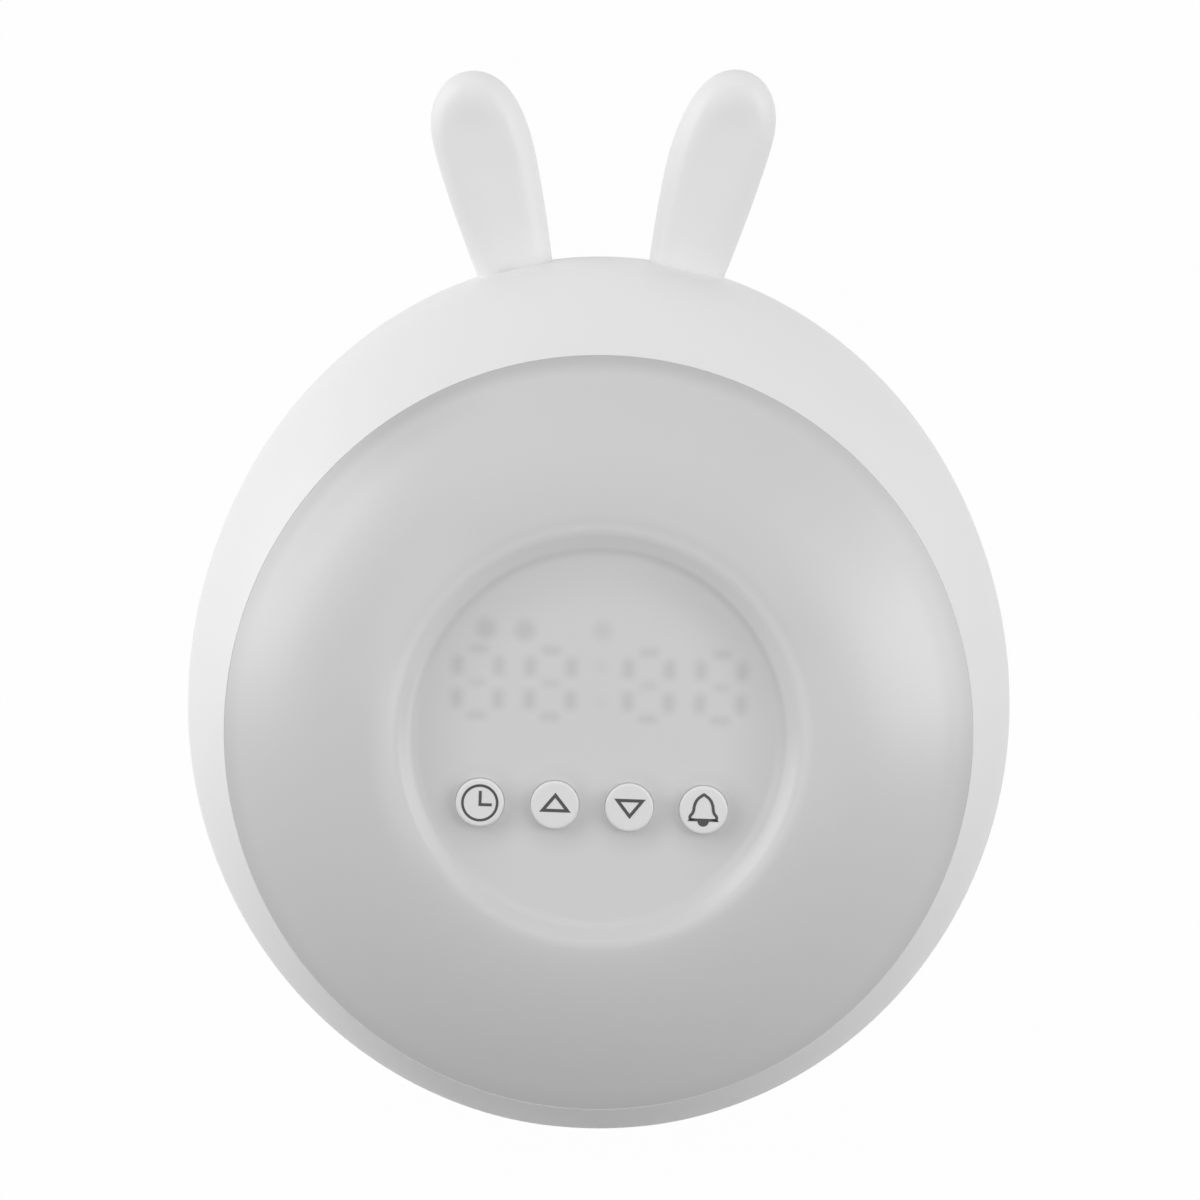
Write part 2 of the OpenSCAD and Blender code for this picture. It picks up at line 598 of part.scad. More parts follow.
module inner_frame() color(white) head() difference() {
  union() {
    in_face() {
      difference() {
        rod_w(flange_r, clamp_w - 2.1, clamp_w);
        rod_w(frame_r - frame_t, clamp_w - 3, clamp_w + 1);
      }
      difference() {
        rod_w(frame_r, -floor_d, clamp_w - 1);
        rod_w(frame_r - frame_t, floor_w, clamp_w + 1);
        rod_w(tube_r - tube_t - 4, -floor_d - 1, floor_w + 1);
      }
      difference() {
        rod_w(tube_r, -floor_d + 0.5, tube_w);
        rod_w(tube_r - tube_t, -floor_d - 1, tube_w + 1);
      }
      difference() {
        union() {
          difference() {
            rod_w(tube_r - 0.5, ledge_w - 4, ledge_w);
            rod_w(tube_r - tube_t - 2, ledge_w - 5, ledge_w + 1);
          }
          for (a = dscrew_angs) rotate([0, 0, a + dial_turn]) rod_w(3.2, ledge_w - 4, ledge_w, dscrew_r, 0);
        }
        for (a = dscrew_angs) rotate([0, 0, a + dial_turn])
          rod_w(1.05 + screw_play, ledge_w - 5, ledge_w + 1, dscrew_r, 0);
      }
      for (a = tab_angs) rotate([0, 0, a]) box([frame_r - 1, -4, -floor_d], [tab_r + 2.2, 4, floor_w - 0.02]);
    }
    difference() {
      for (x = [-1, 1], z = [-1, 1]) rod_y(post_r, -40, post_y - 0.05, x * post_off, back_z + z * post_off);
      in_face() box([-90, -90, floor_w - 1], [90, 90, 60]);
    }
  }
  for (x = [-1, 1], z = [-1, 1])
    rod_y(1.2 + screw_play, post_y - 12.5, post_y + 1, x * post_off, back_z + z * post_off);
  in_face() {
    for (a = tab_angs) rotate([0, 0, a]) rod_w(1.5, -floor_d - 1, floor_w + 1, tab_r, 0);
    for (a = lscrew_angs) rotate([0, 0, a])
      rod_w(1.05 + screw_play, -floor_d - 1, floor_w + 1, lscrew_r, 0);
    box([llead_x - 4, -lscrew_r - 3.5, -floor_d - 1], [llead_x + 4, -lscrew_r + 0.5, floor_w + 1]);
  }
}

module frame_screws() color(steel) face() for (a = tab_angs) rotate([0, 0, a]) {
  rod_w(2.6, -floor_d - 1.8, -floor_d - 0.02, tab_r, 0);
  rod_w(1.2, -floor_d - 0.1, -seat_d - 2.2, tab_r, 0);
}

module light_board() color(white) face() difference() {
  rod_w(lboard_out, floor_w + 0.02, floor_w + pcb_t);
  rod_w(lboard_in, floor_w - 1, floor_w + pcb_t + 1);
  for (a = lscrew_angs) rotate([0, 0, a]) rod_w(1.4, floor_w - 1, floor_w + 3, lscrew_r, 0);
}

module light_leds() color(led_white) face() for (k = [0:led_count - 1])
  rotate([0, 0, 360 * (k + 0.5) / led_count]) difference() {
    box([led_ring_r - led_s / 2, -led_s / 2, floor_w + pcb_t],
        [led_ring_r + led_s / 2, led_s / 2, floor_w + pcb_t + 1.4]);
    rod_w(1.2, floor_w + pcb_t + 0.9, floor_w + pcb_t + 2, led_ring_r, 0);
  }

module light_board_screws() color(steel) face() for (a = lscrew_angs) rotate([0, 0, a]) {
  rod_w(2.2, floor_w + pcb_t, floor_w + pcb_t + 1.4, lscrew_r, 0);
  rod_w(1.05, -floor_d - 0.5, floor_w + pcb_t + 0.2, lscrew_r, 0);
}

// ---- display unit ----

module display_board() color(board_green) dial() difference() {
  rod_w(dboard_r, ledge_w, board_w);
  for (a = dscrew_angs) rotate([0, 0, a]) rod_w(1.3, ledge_w - 1, board_w + 1, dscrew_r, 0);
}

module display_screws() color(steel) dial() for (a = dscrew_angs) rotate([0, 0, a]) {
  rod_w(2.1, board_w, board_w + 1.4, dscrew_r, 0);
  rod_w(1.05, ledge_w - 3.8, board_w + 0.2, dscrew_r, 0);
}

// The seven segment windows of one digit, as boxes of a given width.
module segments(cx, w, z0, z1) {
  hh = digit_h / 2 - seg_w / 2;
  hw = digit_w / 2 - seg_w / 2;
  hx = hw - seg_w / 2 - seg_web;
  hy = hh / 2 - seg_web / 2;
  for (j = [-1, 0, 1])
    box([cx - hx, digit_y + j * hh - w / 2, z0], [cx + hx, digit_y + j * hh + w / 2, z1]);
  for (i = [-1, 1], j = [-1, 1])
    box([cx + i * hw - w / 2, digit_y + j * hh / 2 - hy, z0],
        [cx + i * hw + w / 2, digit_y + j * hh / 2 + hy, z1]);
}

module segment_mask() color(dark) dial() difference() {
  rod_w(mask_r, board_w + 0.02, dial_w - dif_t - 0.1);
  box([-tube_r, -tube_r, board_w - 1], [tube_r, key_flange_r + 0.35 - key_drop, dial_w]);
  for (x = digit_xs) segments(x, seg_w, board_w - 1, dial_w);
  for (p = concat(dots, colon)) rod_w(p[1] > 19 ? dot_r : 0.8, board_w - 1, dial_w, p[0], p[1]);
  rod_w(3.4, board_w - 1, dial_w, 0, dscrew_r);
}

module segment_leds() color(led_white) dial() {
  for (x = digit_xs) segments(x, 0.9, board_w, board_w + 0.6);
  for (p = concat(dots, colon)) rod_w(0.6, board_w, board_w + 0.6, p[0], p[1]);
}

module key_switches() color(dark) dial() for (x = key_xs) difference() {
  box([x - switch_s / 2, -key_drop - switch_s / 2, board_w],
      [x + switch_s / 2, -key_drop + switch_s / 2, board_w + switch_h]);
  rod_w(plunger_r + plunger_play, board_w + 0.5, board_w + switch_h + 1, x, -key_drop);
}

// A plunger that rides in its switch, under the key's stem.
module plunger_at(x) color(dark) dial()
  rod_w(plunger_r, plunger_top - 1.4, plunger_top, x, -key_drop);

// Cap, flange and stem of a key; z runs along its axis, zero at the flange's underside.
module key_form(rise, stem) rotate_extrude($fn = 96) {
  polygon([[0, -stem], [1.6, -stem], [1.6, 0], [key_flange_r, 0], [key_flange_r, key_flange_t],
           [key_r, key_flange_t], [key_r, rise - 0.5], [0, rise - 0.5]]);
  polygon([[0, rise - 0.6], [key_r - 0.5, rise - 0.6], [key_r - 0.5, rise], [0, rise]]);
  translate([key_r - 0.5, rise - 0.5]) intersection() {
    circle(r = 0.5, $fn = 48);
    square([1, 1]);
  }
}

module key_at(x) color(white) dial() translate([x, -key_drop, flange_w0])
  key_form(key_top - flange_w0, flange_w0 - plunger_top);

module time_key() key_at(key_xs[0]);

module up_key() key_at(key_xs[1]);

module down_key() key_at(key_xs[2]);

module alarm_key() key_at(key_xs[3]);

module time_plunger() plunger_at(key_xs[0]);

module up_plunger() plunger_at(key_xs[1]);

module down_plunger() plunger_at(key_xs[2]);

module alarm_plunger() plunger_at(key_xs[3]);

module display_header() color(white) dial()
  box([-dsock_w / 2, -dsock_h / 2, ledge_w - sock_d - 0.1], [dsock_w / 2, dsock_h / 2, ledge_w - 0.02]);

// ---- main board and rear fittings ----

module main_board() color(board_green) head() difference() {
  box([-mboard_x, mboard_y - pcb_t, mboard_z0], [mboard_x, mboard_y, mboard_z1]);
  for (p = bscrews) rod_y(1.3, mboard_y - 5, mboard_y + 1, p[0], p[1]);
}

module board_screws() color(steel) head() for (p = bscrews) {
  rod_y(2.1, mboard_y - pcb_t - 1.5, mboard_y - pcb_t, p[0], p[1]);
  rod_y(1.05, mboard_y - pcb_t - 0.2, mboard_y + 5.4, p[0], p[1]);
}

// Block on the front of the main board, round a place in X and Z.
module on_board(x, z, w, h, t)
  box([x - w / 2, mboard_y - pcb_t - t, z - h / 2], [x + w / 2, mboard_y - pcb_t, z + h / 2]);

module main_chips() color(dark) head() {
  on_board(0, bay_z - 2, chip_s, chip_s, chip_t);
  on_board(port_x - 6, usb_z + 8.5, chip_s * 2 / 3, chip_s * 5 / 12, chip_t - 0.2);
  on_board(bay_x - 1, usb_z - 1, chip_s / 2, chip_s / 2, chip_t - 0.2);
  rod_y(cap_r, mboard_y - pcb_t - cap_h, mboard_y - pcb_t, port_x + 2, usb_z);
  rod_y(cap_r - 0.7, mboard_y - pcb_t - cap_h + 2, mboard_y - pcb_t, port_x - 6, usb_z - 4);
}

// Sockets on the front of the main board for the display, the light and the speaker.
module board_headers() color(white) head() {
  on_board(0, dsock_z, dsock_w, dsock_h, sock_d);
  on_board(llead_x, llead_z, lsock_w, lsock_h, sock_d);
  on_board(slead_x, slead_z, lsock_w, lsock_h, sock_d);
}

// Outline of the power socket between two depths, grown by g.
module usb_form(g, y0, y1) {
  box([port_x - 2.85, y0, usb_z - 1.65 - g], [port_x + 2.85, y1, usb_z + 1.65 + g]);
  rod_y(1.65 + g, y0, y1, port_x - 2.85, usb_z);
  rod_y(1.65 + g, y0, y1, port_x + 2.85, usb_z);
}

module usb_socket() color(steel) head() {
  difference() {
    usb_form(0, mboard_y, panel_y1 - 0.4);
    usb_form(-0.3, panel_y1 - 6.8, panel_y1);
  }
  box([port_x - 3.3, panel_y1 - 7.2, usb_z - 0.35], [port_x + 3.3, panel_y1 - 1.2, usb_z + 0.35]);
}

module light_switch() color(dark) head() difference() {
  box([port_x - switch_s / 2, mboard_y, lkey_z - switch_s / 2],
      [port_x + switch_s / 2, mboard_y + 3, lkey_z + switch_s / 2]);
  rod_y(plunger_r + plunger_play, mboard_y + 0.8, mboard_y + 4, port_x, lkey_z);
}

module light_plunger() color(dark) head()
  rod_y(plunger_r, mboard_y + 1.4, mboard_y + 3.6, port_x, lkey_z);

module light_key() color(white) head() translate([port_x, panel_y0 - 0.06 - key_flange_t, lkey_z])
  rotate([-90, 0, 0])
    key_form(panel_y1 + key_rise - panel_y0 + 0.06 + key_flange_t,
             panel_y0 - 0.06 - key_flange_t - mboard_y - 3.6);

module cell_holder() color(dark) head() difference() {
  s = cell_r + 2;
  box([bay_x - s, mboard_y, bay_z - s], [bay_x + s, mboard_y + cell_t + 1.4, bay_z + s]);
  rod_y(cell_r + 0.15, mboard_y + 1, mboard_y + cell_t + 3, bay_x, bay_z);
  box([bay_x - cell_r * 0.4, mboard_y + 1, bay_z - s - 1],
      [bay_x + cell_r * 0.4, mboard_y + cell_t + 3, bay_z - cell_r * 0.6]);
}

module coin_cell() color(steel) head() union() {
  rod_y(cell_r, mboard_y + 1.6, mboard_y + 1 + cell_t, bay_x, bay_z);
  rod_y(cell_r - 1.4, mboard_y + 1.02, mboard_y + 1.8, bay_x, bay_z);
}

module battery_door() color(white) head() difference() {
  union() {
    box([bay_x - bay_s / 2 - bay_rim + door_play, panel_y1 - 1.15, bay_z - bay_s / 2 - bay_rim + door_play],
        [bay_x + bay_s / 2 + bay_rim - door_play, panel_y1 - 0.02, bay_z + bay_s / 2 + bay_rim - door_play]);
    box([bay_x - bay_s / 2 + door_play, panel_y0 - 1.6, bay_z - bay_s / 2 + door_play],
        [bay_x + bay_s / 2 - door_play, panel_y1 - 0.9, bay_z + bay_s / 2 - door_play]);
  }
  box([bay_x - bay_s / 2 + 1.8, panel_y0 - 3, bay_z - bay_s / 2 + 1.8],
      [bay_x + bay_s / 2 - 1.8, panel_y0 + 1, bay_z + bay_s / 2 - 1.8]);
  rod_y(6, panel_y1 - 0.6, panel_y1 + 1, bay_x, bay_z + bay_s / 2 + 3);
}

module housing_screws() color(steel) head() for (x = [-1, 1], z = [-1, 1]) difference() {
  union() {
    rod_y(2.9, panel_y1 - 2.78, panel_y1 - 0.9, x * post_off, back_z + z * post_off);
    rod_y(1.2, post_y - 12, panel_y1 - 2.5, x * post_off, back_z + z * post_off);
  }
  translate([x * post_off, panel_y1 - 1.4, back_z + z * post_off]) {
    box([-1.8, 0, -0.35], [1.8, 1, 0.35]);
    box([-0.35, 0, -1.8], [0.35, 1, 1.8]);
  }
}

// ---- speaker ----

// Turned form round the speaker's axis; the profile is (radius, depth).
module spk() head() translate([0, 0, spk_z]) rotate([-90, 0, 0]) rotate_extrude($fn = 96) children();

// Depths of the speaker, from the back panel forwards.
spk_rim = panel_y0 - 1.9;
spk_back = spk_rim - 8.9;
spk_mag = 12;

module speaker_frame() color(dark) spk() polygon([
  [0, spk_back], [spk_mag + 0.5, spk_back], [spk_mag + 0.5, spk_back + 2.4], [spk_r - 2.8, spk_rim],
  [spk_r, spk_rim], [spk_r, panel_y0 - 0.02], [spk_r - 2.6, panel_y0 - 0.02],
  [spk_r - 2.6, spk_rim + 0.7], [spk_r - 4, spk_rim + 0.7], [spk_mag - 0.4, spk_back + 3.4],
  [spk_mag - 0.4, spk_back + 1.4], [0, spk_back + 1.4]]);

module speaker_cone() color([0.3, 0.3, 0.3]) spk() polygon([
  [0, spk_rim - 4.7], [5, spk_rim - 4.7], [5.4, spk_rim - 4], [spk_r - 4.6, spk_rim + 0.72],
  [spk_r - 2.7, spk_rim + 0.72], [spk_r - 2.7, spk_rim + 1.2], [spk_r - 4.8, spk_rim + 1.2],
  [5, spk_rim - 3.5], [3.6, spk_rim - 2.3], [0, spk_rim - 1.5]]);

module speaker_magnet() color(steel) spk() polygon([
  [0, spk_back - 7.6], [spk_mag - 1.4, spk_back - 7.6], [spk_mag - 1, spk_back - 7.2],
  [spk_mag - 1, spk_back - 2.4], [spk_mag, spk_back - 2.4], [spk_mag, spk_back - 0.02],
  [0, spk_back - 0.02]]);

module speaker_retainer() color(white) head() difference() {
  union() {
    rod_y(spk_r + 2, spk_rim - 2, spk_rim - 0.07, 0, spk_z);
    box([-rscrew_x - 3.4, spk_rim - 2, spk_z - 4], [rscrew_x + 3.4, spk_rim - 0.07, spk_z + 4]);
  }
  rod_y(spk_r - 2, spk_rim - 3, spk_rim + 1, 0, spk_z);
  for (x = [-1, 1]) rod_y(1.3, spk_rim - 3, spk_rim + 1, x * rscrew_x, spk_z);
}

module retainer_screws() color(steel) head() for (x = [-1, 1]) {
  rod_y(2.2, spk_rim - 3.6, spk_rim - 2.02, x * rscrew_x, spk_z);
  rod_y(1.05, spk_rim - 2.2, spk_rim + 2.5, x * rscrew_x, spk_z);
}

// ---- leads and feet ----

// A flat lead along a path in the Y-Z plane, between two places in X.
module lead(path, t, x0, x1) {
  n = len(path);
  d = [for (i = [0:n - 1])
        let (a = path[max(0, i - 1)], b = path[min(n - 1, i + 1)], l = norm(b - a))
        [-(b[1] - a[1]) / l, (b[0] - a[0]) / l] * t / 2];
  translate([x0, 0, 0]) rotate([90, 0, 90]) linear_extrude(height = x1 - x0)
    polygon(concat([for (i = [0:n - 1]) path[i] + d[i]], [for (i = [n - 1:-1:0]) path[i] - d[i]]));
}

function in_yz(v, w) =
  [face_y + v * sin(face_tilt) - w * cos(face_tilt), face_z + v * cos(face_tilt) + w * sin(face_tilt)];

// Where a lead's end stands, just off the sockets' faces.
lead_end = mboard_y - pcb_t - sock_d - 0.04;

module display_cable() color([0.75, 0.75, 0.75]) head() lead([
  in_yz(0, ledge_w - sock_d - 0.14), in_yz(0, -14), in_yz(-3.5, -30), [8, -7.5], [22, -10],
  [lead_end - 3.46, dsock_z], [lead_end, dsock_z]], 0.8, -dlead_w / 2, dlead_w / 2);

module light_lead() color([0.75, 0.75, 0.75]) head() lead([
  in_yz(-lscrew_r - 1.5, floor_w), in_yz(-lscrew_r - 1.5, floor_w - 7), [-8, -44], [10, -43], [24, -39],
  [lead_end - 3.46, llead_z], [lead_end, llead_z]], 1, llead_x - llead_w / 2, llead_x + llead_w / 2);

module speaker_lead() color([0.75, 0.3, 0.3]) head() lead([
  [mboard_y - 3, 13], [mboard_y - 7.4, 9], [mboard_y - 10.4, 2], [mboard_y - 9.8, -4],
  [mboard_y - 8.6, slead_z], [lead_end, slead_z]], 1, slead_x - slead_w / 2, slead_x + slead_w / 2);

module rubber_feet() color(rubber) head() for (x = [-1, 1], y = [foot_y0, foot_y1])
  translate([x * foot_x, y, -base_drop - foot_t]) cylinder(r = foot_r, h = foot_t, $fn = 64);

front_housing();
rear_housing();
left_ear();
right_ear();
diffuser();
inner_frame();
light_board();
light_leds();
display_board();
segment_mask();
segment_leds();
key_switches();
time_key();
up_key();
down_key();
alarm_key();
time_plunger();
up_plunger();
down_plunger();
alarm_plunger();
display_header();
main_board();
main_chips();
board_headers();
usb_socket();
light_switch();
light_plunger();
light_key();
cell_holder();
coin_cell();
battery_door();
speaker_frame();
speaker_cone();
speaker_magnet();
speaker_retainer();
housing_screws();
frame_screws();
board_screws();
ear_screws();
retainer_screws();
display_screws();
light_board_screws();
rubber_feet();
display_cable();
light_lead();
speaker_lead();
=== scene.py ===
"""Kids alarm clock with night light: smooth housings, ears, frosted diffuser, keys with printed
marks, back fittings and studio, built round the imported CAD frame. Lengths are written in
millimetres round the head centre and scaled to metres by the mesh helpers."""

import json
import math

import bmesh
import bpy
from mathutils import Matrix, Vector
from mathutils.geometry import delaunay_2d_cdt

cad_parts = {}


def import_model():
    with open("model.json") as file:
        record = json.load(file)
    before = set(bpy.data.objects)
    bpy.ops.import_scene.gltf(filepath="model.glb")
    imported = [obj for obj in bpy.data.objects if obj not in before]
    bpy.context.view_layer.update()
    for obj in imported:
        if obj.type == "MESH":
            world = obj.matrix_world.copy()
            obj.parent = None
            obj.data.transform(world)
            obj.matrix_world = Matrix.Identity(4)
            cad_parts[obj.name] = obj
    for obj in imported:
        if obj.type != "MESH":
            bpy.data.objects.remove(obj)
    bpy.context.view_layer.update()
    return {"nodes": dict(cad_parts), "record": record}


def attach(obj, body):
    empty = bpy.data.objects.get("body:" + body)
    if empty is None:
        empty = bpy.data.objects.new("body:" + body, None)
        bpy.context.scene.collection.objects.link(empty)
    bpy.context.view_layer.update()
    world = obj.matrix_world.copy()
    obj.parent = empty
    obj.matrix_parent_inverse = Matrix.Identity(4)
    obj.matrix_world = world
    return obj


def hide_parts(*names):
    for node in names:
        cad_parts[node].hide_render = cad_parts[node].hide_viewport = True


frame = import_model()
NODES = frame["nodes"]
RECORD = frame["record"]

MM = 0.001
MERGE, SLIVER = 2e-7, 1e-8  # points this near are joined, edges this short are taken out, metres
HEAD = Vector((0.0, 2.478, 79.2))  # head centre in the frame, mm

# ---- sizes in mm: the solids' own, but for fine differences ----

# widest ring: half width, reach up and down, depth; walls; flat base
HEAD_A, HEAD_TOP, HEAD_BOT, MID_Y = 82.4, 90.9, 85.8, 8.0
HEAD_REACH = (HEAD_A, HEAD_TOP, HEAD_BOT)
WALL, RIM_WALL = 2.4, 0.9
BASE, BASE_SOFT = -78.0, 2.0
# bezel: it looks up, and its edge is a little taller than wide
TILT, FACE_H = math.radians(12), 35.6
RIM_R, EDGE = 72.95, math.radians(48)
RIM_UP, RIM_DOWN, RIM_SIDE = 0.0065, 0.007, 0.003
OPEN_R, SEAT_R, LIP_T, SEAT_D = 72.9, 74.5, 5.0, 9.5
RIM_SINK, RIM_OUT, RIM_TURN = 0.03, 0.04, math.radians(0.15)  # corner of its rounded edge
# rear: back edge, fullness, parting line with its lap, recessed panel
BACK_Y, BACK_R, BACK_Z, REAR_POW = 51.0, 58.0, 2.0, 2.2
PART_Y, PART_SOFT, PART_GAP, LAP = 29.0, 0.35, 0.1, 3.0
PANEL_Y1, PANEL_Y0, PANEL_RIM = 49.0, 46.8, 1
BACK_SOFT, PANEL_SOFT, PANEL_SEAT = 0.6, 0.5, 0.4
# diffuser: wall, flange, gap round its edge; dome; roll into the recess; dial floor
DIF_T, FLANGE_R, DIF_PLAY = 2.0, 74.25, 0.008
CREST_R, CREST_W, DOME_SINK, DOME_POW = 40.6, 12.5, 0.12, 1.65
ROLL_R, ROLL_A, DIAL_W, CORNER = 3.6, math.radians(28), 10.8, 1.5
DIAL_TURN = math.radians(-1.4)
# the recess is a share narrower than the dial, and the dome stretches outwards: radius and run
NARROW, NARROW_R, NARROW_RUN = 0.015, 31.2, 3.0
STRETCH_R, STRETCH_RUN = 36.0, 29.0
# keys: cap, hidden flange, stem, gaps
KEY_R, KEY_TOP, KEY_DROP, KEY_SOFT = 4.65, DIAL_W + 1.7, 13.05, 0.5
KEY_DISH_R, KEY_DISH, KEY_BROW = 2.0, 0.045, 0.015
KEY_XS = (-22.38, -7.98, 6.35, 20.62)
KEY_FLANGE_R, KEY_FLANGE_T, KEY_FLANGE_GAP = 5.55, 1.0, 0.06
STEM_R, PLUNGER_TOP = 1.6, 7.3
KEY_PLAY, BACK_KEY_PLAY = 0.03, 0.08
# back fittings: light key and power socket, battery bay, speaker grille, screw wells
MBOARD_Y = PANEL_Y0 - 8.2
PORT_X, USB_Z, LKEY_Z, LKEY_TOP, LKEY_STEM = 20.0, -30.0, -12.0, PANEL_Y1 + 1.35, MBOARD_Y + 3.6
USB_R, USB_RUN, USB_PLAY = 1.65, 2.85, 0.3
BAY_X, BAY_Z, BAY_S, BAY_RIM, BAY_STEP, DOOR_PLAY = -16.0, -20.0, 26.0, 2.0, 1.2, 0.15
SPK_Z, GRILLE_R, GRILLE_P = 26.0, 1.1, 4.6
POST_OFF, POST_Y = 52.0 * math.sqrt(0.5), PANEL_Y0 - 2.8
WELL_R, WELL_D, SHANK_IN, POST_OUT = 3.2, 2.8, -1.5, 1.3
# ears: heights, half width, taper, thickness, tip's bluntness, curl; place and lean
EAR_TIP, EAR_WIDE_Z, EAR_FOOT, EAR_Z = 128.2, 112.0, 80.0, 88.0
EAR_W, EAR_TAPER, EAR_T, EAR_BLUNT, EAR_CURL = 9.95, 2.1, 6.4, 2.2, 0.0075
EAR_X, EAR_LEAN, EAR_Y = 17.3, 0.25, 18.5
# hollow in the ears' front: depth, middle and half width as shares, how it fades at tip and foot
EAR_DISH, DISH_MID, DISH_HALF = 1.6, 0.06, 0.76
TIP_FADE, TIP_RUN, FOOT_FADE, FOOT_RUN, FOOT_LEAST = 2.0, 10.5, 4, 26, 0.25
EAR_SHIFT, SHIFT_RUN = -0.45, 22.0  # both ears stand a little to the left, below their tips
LEFT_TIP = 0.955  # share of its height that the left ear's tip has
# crease at the left ear's foot: depth, and from where to where it runs
CREASE, CREASE_FROM, CREASE_TO, CREASE_FADE = 0.42, -0.4, 0.75, 0.5
FOOT_R, FOOT_T, FOOT_SOFT, FOOT_XS, FOOT_YS = 5.0, 1.2, 0.4, (-18.0, 18.0), (-5.0, 22.0)

# points round the head, the diffuser, an ear, a key and a foot
RING_N, DOME_N, EAR_N, KEY_N, FOOT_N = 240, 256, 72, 96, 64
# rounded edges of openings and of the door, as (growth, depth) steps under the outer face
WELL_EDGE = ((0.25, 0.0), (0.0, 0.2))
BAY_EDGE = ((0.2, 0.0), (0.0, 0.2))
SOCKET_EDGE = ((0.3, 0.0), (0.0, 0.3))
GRILLE_EDGE = ((0.25, 0.0), (0.07, 0.08), (0.0, 0.25))
BACK_KEY_EDGE = ((0.3, 0.0), (0.08, 0.1), (0.0, 0.3))
DIAL_KEY_EDGE = ((0.12, 0.0), (0.03, 0.04), (0.0, 0.12))
DOOR_EDGE = ((-0.25, 0.0), (-0.07, 0.07), (0.0, 0.25))

FACE = Vector((0.0, -FACE_H * math.cos(TILT), FACE_H * math.sin(TILT)))
FACE_X = Vector((1, 0, 0))
FACE_UP = Vector((0, math.sin(TILT), math.cos(TILT)))
FACE_OUT = Vector((0, -math.cos(TILT), math.sin(TILT)))
DIAL_X = FACE_X * math.cos(DIAL_TURN) + FACE_UP * math.sin(DIAL_TURN)
DIAL_UP = FACE_UP * math.cos(DIAL_TURN) - FACE_X * math.sin(DIAL_TURN)


# ---- places ----

def smooth01(v):
    """Smooth step from 0 to 1."""
    v = max(0.0, min(1.0, v))
    return v * v * (3 - 2 * v)


def on_face(x, y, w):
    """Point of the bezel's frame in head coordinates."""
    return FACE + FACE_X * x + FACE_UP * y + FACE_OUT * w


def on_dial(x, y, w):
    """Point of the turned dial's frame in head coordinates."""
    return FACE + DIAL_X * x + DIAL_UP * y + FACE_OUT * w


def on_dome(x, y, w):
    """Point of the diffuser: the dial's frame in the middle, slightly taller than wide outwards."""
    r = math.hypot(x, y)
    n = smooth01((r - NARROW_R) / NARROW_RUN)
    e = smooth01((r - STRETCH_R) / STRETCH_RUN)
    c, s = math.cos(DIAL_TURN), math.sin(DIAL_TURN)
    fx, fy = x * c - y * s, x * s + y * c
    wide = 1 - NARROW * n * (1 - e) - RIM_SIDE * e
    tall = 1 + (RIM_UP if fy > 0 else RIM_DOWN) * e
    return on_face(fx * wide, fy * tall, w)


def at_back(x, z, y):
    """Point of the back panel's frame: across, up, depth."""
    return Vector((x, y, z))


def upright(*point):
    """Point given by its head coordinates."""
    return Vector(point)


# ---- mesh helpers ----

def add(name, data):
    """New object in the scene."""
    obj = bpy.data.objects.new(name, data)
    bpy.context.scene.collection.objects.link(obj)
    return obj


def build(name, verts, faces, body, slot, replaced=(), angle=30.0, weighted=True, look=None):
    """Mesh object from points in head coordinates, smooth except at sharp edges."""
    me = bpy.data.meshes.new(name)
    me.from_pydata([(Vector(v) + HEAD) * MM for v in verts], [], faces)
    bm = bmesh.new()
    bm.from_mesh(me)
    bmesh.ops.remove_doubles(bm, verts=bm.verts, dist=MERGE)
    bmesh.ops.dissolve_degenerate(bm, edges=bm.edges, dist=SLIVER)
    bmesh.ops.recalc_face_normals(bm, faces=bm.faces)
    bm.to_mesh(me)
    bm.free()
    me.shade_smooth()
    me.set_sharp_from_angle(angle=math.radians(angle))
    obj = add(name, me)
    if weighted:
        obj.modifiers.new("weighted", "WEIGHTED_NORMAL").keep_sharp = True
    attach(obj, body)
    if replaced:
        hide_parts(*replaced)
    me.materials.append(MATERIALS[look or slot])
    return obj


def strips(rings, closed=False):
    """Quads between rings of equal length; closed joins the last ring to the first."""
    n = len(rings[0])
    verts = [v for ring_verts in rings for v in ring_verts]
    faces = []
    for i in range(len(rings) if closed else len(rings) - 1):
        j = (i + 1) % len(rings)
        for k in range(n):
            m = (k + 1) % n
            faces.append((i * n + k, i * n + m, j * n + m, j * n + k))
    return verts, faces


def join(*parts):
    """One list of points and faces from several."""
    verts, faces = [], []
    for v, f in parts:
        off = len(verts)
        verts += v
        faces += [tuple(i + off for i in face) for face in f]
    return verts, faces


def bend(a, c, b, steps=3):
    """Rings of a rounded edge from ring a to ring b round the corner ring c."""
    out = []
    for i in range(steps + 1):
        t = i / steps
        out.append([p * (1 - t) ** 2 + q * (2 * t * (1 - t)) + r * t ** 2
                    for p, q, r in zip(a, c, b)])
    return out


def circle(r, n, cx=0.0, cy=0.0):
    """Points of a circle, counter-clockwise."""
    return [(cx + r * math.cos(2 * math.pi * k / n), cy + r * math.sin(2 * math.pi * k / n))
            for k in range(n)]


def arc(cx, cy, r, a0, a1, n):
    """Points of an arc, angles in degrees."""
    return [(cx + r * math.cos(math.radians(a0 + (a1 - a0) * i / n)),
             cy + r * math.sin(math.radians(a0 + (a1 - a0) * i / n))) for i in range(n + 1)]


